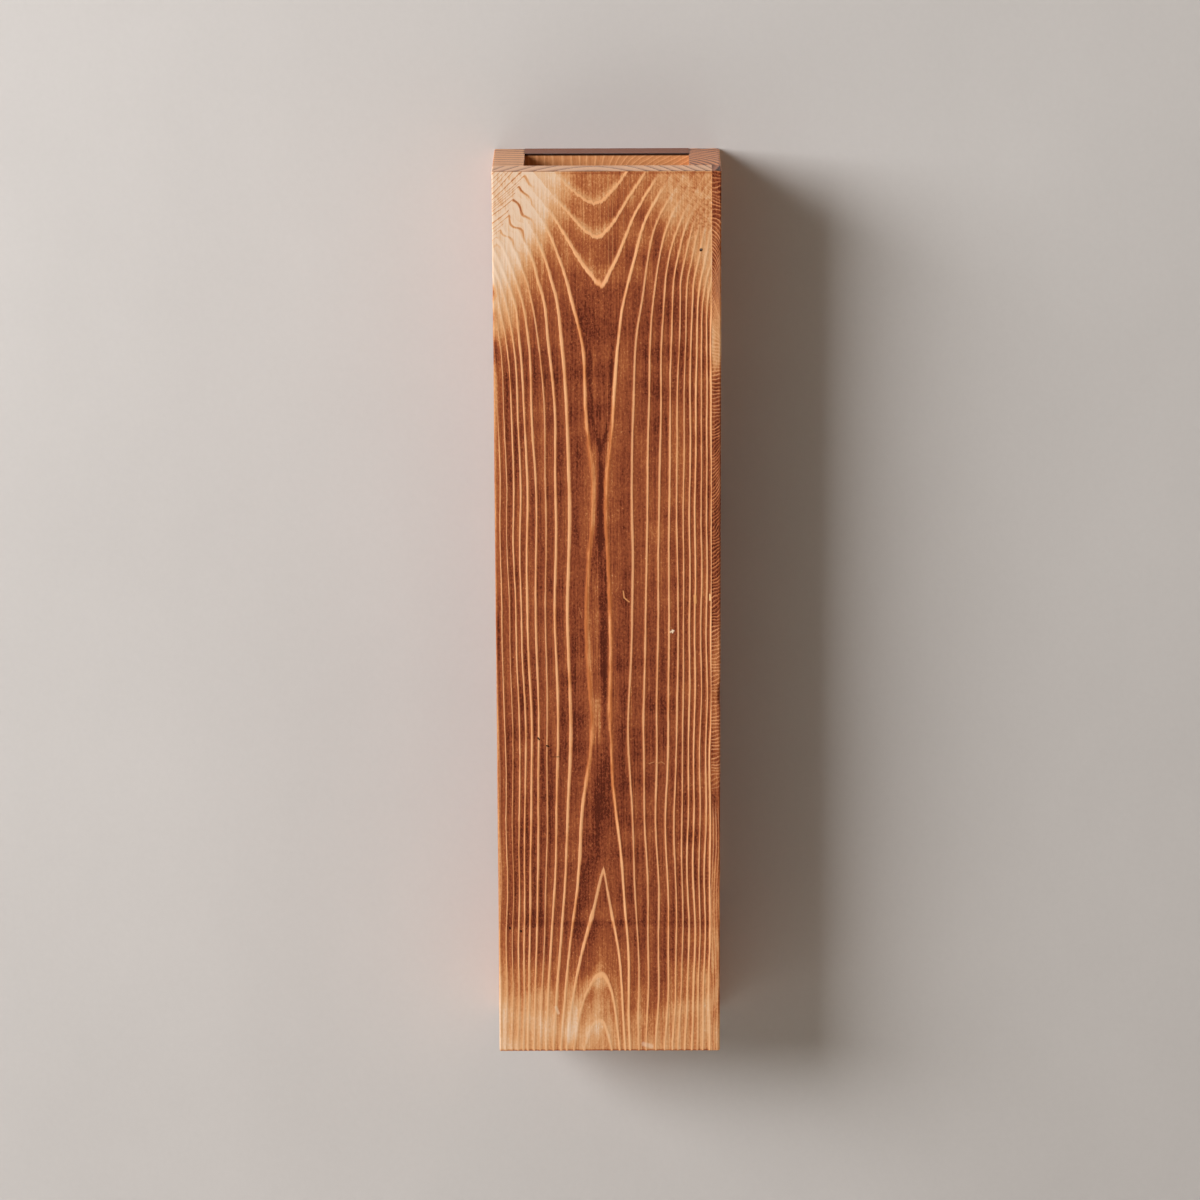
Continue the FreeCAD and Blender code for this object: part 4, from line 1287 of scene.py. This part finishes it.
@dataclass
class Carcass:
    """The walls and the bottom of the box: the front, its strip and the sides as
    brushed boards, and the back and the bottom boards dressed in a finish.

    Each step is how far apart the nets' sample places lie, in millimetres. Along the
    height they lie closer in the zones at both ends.
    """

    body: str = "box"
    face_step: float = 0.5
    deep_step: float = 1.6
    top_step: float = 1.1
    long_step: float = 3.2
    low_step: float = 1.8
    top_zone: float = 92.0
    low_zone: float = 142.0
    strip_steps: tuple[float, float] = (0.4, 0.9)
    side_steps: tuple[float, float] = (0.9, 0.7)
    side_factor: float = 1.15
    hole_reach: float = 0.8
    hole_places: int = 11

    def heights(self, low: float, high: float, factor: float = 1.0) -> Array:
        """Sample heights: close near both ends, where the rings arch, and wide between."""
        upper, lower = high - self.top_zone, low + self.low_zone
        return np.unique(np.concatenate([
            steps(low, lower, self.low_step * factor),
            steps(lower, upper, self.long_step * factor),
            steps(upper, high, self.top_step * factor)]))

    def hole_steps(self, centre: float) -> Array:
        """Extra sample places round the open brad hole."""
        return centre + np.linspace(-self.hole_reach, self.hole_reach, self.hole_places)

    def place(self, board: bpy.types.Object, node: str, slot: str) -> None:
        """Seats a board for its node, on the box's body."""
        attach(board, self.body)
        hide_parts(node)
        LOG.info("%s stands for %s, %d faces", board.name, node, len(board.data.polygons))

    def build_front(self, planed: bpy.types.Material) -> None:
        """The wide front board, with its arched figure and the open brad hole."""
        low, high = millimetre_box("front_board")
        xs = np.union1d(steps(low[0], high[0], self.face_step), self.hole_steps(BRAD_HOLE[0]))
        zs = np.union1d(self.heights(low[2], high[2]), self.hole_steps(BRAD_HOLE[1]))
        skin = (Side.FRONT, Side.LEFT, Side.TOP, Side.BOTTOM)
        lattice = Lattice(xs, steps(low[1], high[1], self.deep_step), zs, fine=skin, eased=skin)
        finish = ScorchedPine(
            "scorched_pine_front", end_light=(205, 158, 123), end_dark=(147, 96, 66),
            end_contrast=1.3, pair_reach=165.0, marks=FRONT_MARKS).material()
        board = build_board("brushed_front", lattice, FrontGrain(), (finish, planed))
        self.place(board, "front_board", "front_wood")

    def build_strip(self, planed: bpy.types.Material) -> None:
        """The narrow strip glued along the front board's right edge."""
        low, high = millimetre_box("front_edge_strip")
        across, along = self.strip_steps
        skin = (Side.FRONT, Side.RIGHT, Side.TOP, Side.BOTTOM)
        lattice = Lattice(steps(low[0], high[0], across), steps(low[1], high[1], self.deep_step),
                          steps(low[2], high[2], along), fine=skin, eased=skin)
        finish = ScorchedPine(
            "scorched_pine_strip", line=0.2, line_strength=0.3, glow=0.08, fray=0.7,
            end_light=(172, 102, 62), end_dark=(92, 45, 24)).material()
        board = build_board("brushed_edge_strip", lattice, StripGrain(), (finish, planed))
        self.place(board, "front_edge_strip", "strip_wood")

    def build_side(self, side: Side, grain: LogGrain, planed: bpy.types.Material) -> None:
        """One side board, brushed on its outer face."""
        name = side.name.lower()
        node = f"side_board_{name}"
        low, high = millimetre_box(node)
        across, deep = self.side_steps
        lattice = Lattice(steps(low[0], high[0], across), steps(low[1], high[1], deep),
                          self.heights(low[2], high[2], self.side_factor),
                          fine=(side, Side.TOP, Side.BOTTOM),
                          eased=(side, Side.BACK, Side.TOP, Side.BOTTOM))
        if side is Side.LEFT:
            light, dark, contrast = (198, 141, 96), (128, 75, 44), 1.5
        else:
            light, dark, contrast = (191, 121, 75), (98, 49, 26), 2.0
        finish = ScorchedPine(f"scorched_pine_{name}", line=0.5, end_light=light,
                              end_dark=dark, end_contrast=contrast).material()
        board = build_board(f"brushed_side_{name}", lattice, grain, (finish, planed))
        self.place(board, node, "side_wood")

    def build(self) -> None:
        """Builds the boards, and dresses the pieces of the frame that stay."""
        pine = PlanedPine("planed_pine_inside", light=(196, 134, 90), dark=(150, 88, 52))
        planed = pine.material()
        self.build_front(planed)
        self.build_strip(planed)
        left = LogGrain(heart=(-100.0, -330.0), spacing=8.0, taper=1.5, seed=21)
        right = LogGrain(heart=(17.0, -78.0), spacing=5.0, taper=7.0, end_base=0.3, seed=31)
        self.build_side(Side.LEFT, left, planed)
        self.build_side(Side.RIGHT, right, planed)
        low, high = millimetre_box("back_board")
        back = BackPine("planed_pine_back", front=float(low[1]), top=float(high[2])).material()
        dress_node("back_board", back)
        dress_node("base_board", planed)


@dataclass
class Fittings:
    """The hangers, screws and brads. rows names the rows of brads on each side."""

    rows: tuple[str, ...] = ("front", "back", "base", "cleat", "shelf")

    def build(self) -> None:
        """Dresses each fastener and plate in its steel."""
        plate = ZincSteel("zinc_hanger_plate").material()
        screw = ZincSteel("zinc_screw", light=(214, 206, 180), dark=(160, 150, 122), roughness=0.3)
        brad = ZincSteel("bright_brad", light=(176, 174, 170), dark=(120, 118, 114), roughness=0.42)
        screw_finish, brad_finish = screw.material(), brad.material()
        for side in ("left", "right"):
            dress_node(f"hanger_plate_{side}", plate)
            dress_node(f"hanger_screws_{side}", screw_finish)
            for row in self.rows:
                dress_node(f"{row}_brads_{side}", brad_finish)


@dataclass
class LinerBay:
    """The lift-out liner, and the shelf and cleats that carry it."""

    def build(self) -> None:
        """Dresses the liner, its shelf and the cleats."""
        dress_node("liner", MattePlastic("liner_plastic_matte").material())
        low, high = millimetre_box("liner_shelf")
        ply = Plywood("birch_ply", top=float(high[2]), thickness=float(high[2] - low[2]))
        dress_node("liner_shelf", ply.material())
        batten = PlanedPine("planed_batten", light=(222, 182, 138), dark=(180, 132, 90)).material()
        for side in ("left", "right"):
            dress_node(f"shelf_cleat_{side}", batten)


# ---------------------------------------------------------------- the studio

@dataclass(frozen=True)
class Lamp:
    """A soft lamp that looks at the stage's target.

    It stands out along way from the target, at a distance in millimetres. Its power is
    in watts and its width and height are in metres.
    """

    name: str
    way: tuple[float, float, float]
    distance: float
    power: float
    size: tuple[float, float]
    tint: Rgb

    def build(self, target: Vector) -> None:
        """Makes the lamp and turns it towards the target, given in millimetres."""
        light = bpy.data.lights.new(self.name, "AREA")
        light.shape = "RECTANGLE"
        light.energy, (light.size, light.size_y) = self.power, self.size
        light.color = linear(self.tint)[:3]
        lamp = bpy.data.objects.new(self.name, light)
        out = Vector(self.way).normalized()
        lamp.location = (target + out * self.distance) * MM
        lamp.rotation_euler = out.to_track_quat("Z", "Y").to_euler()
        bpy.context.scene.collection.objects.link(lamp)


@dataclass
class Studio:
    """A pale plastered wall, a pale floor, soft lamps and the camera.

    The eye and the target are in millimetres, the turns in degrees, and the sizes of
    the wall and the floor in metres.
    """

    eye: tuple[float, float, float] = (12.39, -3378.42, 664.22)
    pitch: float = 14.716
    yaw: float = -0.3054
    roll: float = -0.2315
    lens: float = 157.89
    sensor: float = 36.0
    sight: tuple[float, float] = (0.1, 60.0)
    target: tuple[float, float, float] = (0.0, -40.0, -215.0)
    wall_half: float = 2.2
    wall_top: float = 1.9
    wall_gap: float = 0.0006
    wall_colour: Rgb = (203, 198, 195)
    floor_half: float = 6.0
    floor_level: float = -1.6
    floor_colour: Rgb = (214, 209, 203)
    floor_glow: float = 0.6
    ambient: Rgb = (255, 231, 188)
    ambient_strength: float = 0.12
    backdrop: Rgb = (222, 217, 212)
    lamps: tuple[Lamp, ...] = (
        Lamp("key", (-3.62, -2.47, 1.58), 4400, 262, (2.7, 2.1), (251, 253, 255)),
        Lamp("behind_left", (-0.12, 0.9, 0.42), 2600, 42, (1.8, 1.8), (255, 252, 248)),
        Lamp("behind_right", (0.85, 0.5, 0.15), 2600, 24, (1.8, 1.8), (255, 252, 248)),
    )

    def build_camera(self) -> None:
        """Sets the camera by its place and its turns.

        Looking along f = (sin yaw cos pitch, cos yaw cos pitch, -sin pitch), with the
        level right-hand way r = f x Z and u = r x f, both then turned by the roll.
        """
        pitch, yaw, roll = radians(self.pitch), radians(self.yaw), radians(self.roll)
        ahead = Vector((sin(yaw) * cos(pitch), cos(yaw) * cos(pitch), -sin(pitch)))
        level = ahead.cross(Vector((0, 0, 1))).normalized()
        upward = level.cross(ahead)
        right = level * cos(roll) + upward * sin(roll)
        above = upward * cos(roll) - level * sin(roll)
        camera = bpy.data.objects.new("camera", bpy.data.cameras.new("camera"))
        camera.data.sensor_width = self.sensor
        camera.data.lens = self.lens
        camera.data.clip_start, camera.data.clip_end = self.sight
        turn = Matrix((right, above, -ahead)).transposed().to_4x4()
        camera.matrix_world = Matrix.Translation(Vector(self.eye) * MM) @ turn
        bpy.context.scene.collection.objects.link(camera)
        bpy.context.scene.camera = camera

    def plane(self, name: str, corners: list, finish: bpy.types.Material) -> bpy.types.Object:
        """A flat stage piece through four corners in metres."""
        mesh = bpy.data.meshes.new(name)
        mesh.from_pydata(corners, [], [(0, 1, 2, 3)])
        mesh.materials.append(finish)
        piece = bpy.data.objects.new(name, mesh)
        bpy.context.scene.collection.objects.link(piece)
        return piece

    def plaster(self, name: str, colour: Rgb) -> Shader:
        """Pale plaster with a faint mottle, and painted light that makes it a little paler higher
        up.
        """
        shade = Shader(name)
        at = shade.millimetres()
        cloud = shade.noise(at, (0.006, 0.006, 0.004), 3)
        speck = shade.noise(at, (0.25, 0.25, 0.25), 3, 0.7)
        # painted light: paler with height, standing in for the lamps' falloff on the wall
        high = shade.smooth(shade.split(at)[2], -750.0, 250.0)
        paler = tuple(part + 6 for part in colour)
        darker = tuple(part - 12 for part in colour)
        shade.dress(shade.ramp(high * 0.45 + cloud * 0.34 + speck * 0.16 + 0.42,
                               ((0.0, darker), (1.0, paler))), 0.95, specular=0.1)
        return shade

    def build_wall(self) -> None:
        """The wall that the box hangs on, which lets sight through from behind."""
        shade = self.plaster("wall_plaster", self.wall_colour)
        behind = shade.term(shade.node("ShaderNodeNewGeometry"), "Backfacing")
        clear = shade.term(shade.node("ShaderNodeBsdfTransparent"))
        shade.blend(behind, shade.term(shade.surface), clear, "Material Output")
        half, back, foot, top = self.wall_half, self.wall_gap, self.floor_level, self.wall_top
        corners = [(-half, back, foot), (half, back, foot), (half, back, top), (-half, back, top)]
        wall = self.plane("wall", corners, shade.material)
        wall.visible_shadow = False

    def build_floor(self) -> None:
        """The floor, held pale to the eye by a glow that only the camera sees."""
        shade = self.plaster("floor_plain", self.floor_colour)
        seen = shade.term(shade.node("ShaderNodeLightPath"), "Is Camera Ray")
        shade.feed(shade.surface.inputs["Emission Color"], linear(self.floor_colour))
        shade.feed(shade.surface.inputs["Emission Strength"], seen * self.floor_glow)
        half, level = self.floor_half, self.floor_level
        corners = [(-half, -half, level), (half, -half, level), (half, half, level),
                   (-half, half, level)]
        self.plane("floor", corners, shade.material)

    def build_world(self) -> None:
        """An even ambient light, with a pale background for sight and reflections.

        The background shows to camera, glossy and transmitted rays, and the ambient
        light reaches all others.
        """
        world = bpy.data.worlds.new("studio")
        bpy.context.scene.world = world
        world.use_nodes = True
        graph = Graph(world.node_tree)
        ambient = world.node_tree.nodes["Background"]
        graph.feed(ambient.inputs["Color"], linear(self.ambient))
        graph.feed(ambient.inputs["Strength"], self.ambient_strength)
        backdrop = graph.node("ShaderNodeBackground", {"Color": linear(self.backdrop)})
        path = graph.node("ShaderNodeLightPath")
        camera, glossy, transmitted = (
            graph.term(path, f"Is {kind} Ray") for kind in ("Camera", "Glossy", "Transmission"))
        seen = (camera + (glossy + transmitted).at_most(1.0)).at_most(1.0)
        graph.blend(seen, graph.term(ambient), graph.term(backdrop), "World Output")

    def build(self) -> None:
        """Sets the camera, the wall, the floor, the lamps and the world."""
        self.build_camera()
        self.build_wall()
        self.build_floor()
        for lamp in self.lamps:
            lamp.build(Vector(self.target))
        self.build_world()
        bpy.context.scene.view_settings.view_transform = "Standard"


def main() -> None:
    """Builds the studio and the planter in order."""
    logging.basicConfig(level=logging.INFO, format="%(name)s: %(message)s")
    Studio().build()
    for part in (Carcass(), LinerBay(), Fittings()):
        part.build()
        LOG.info("%s is ready", type(part).__name__)


if __name__ == "__main__":
    main()
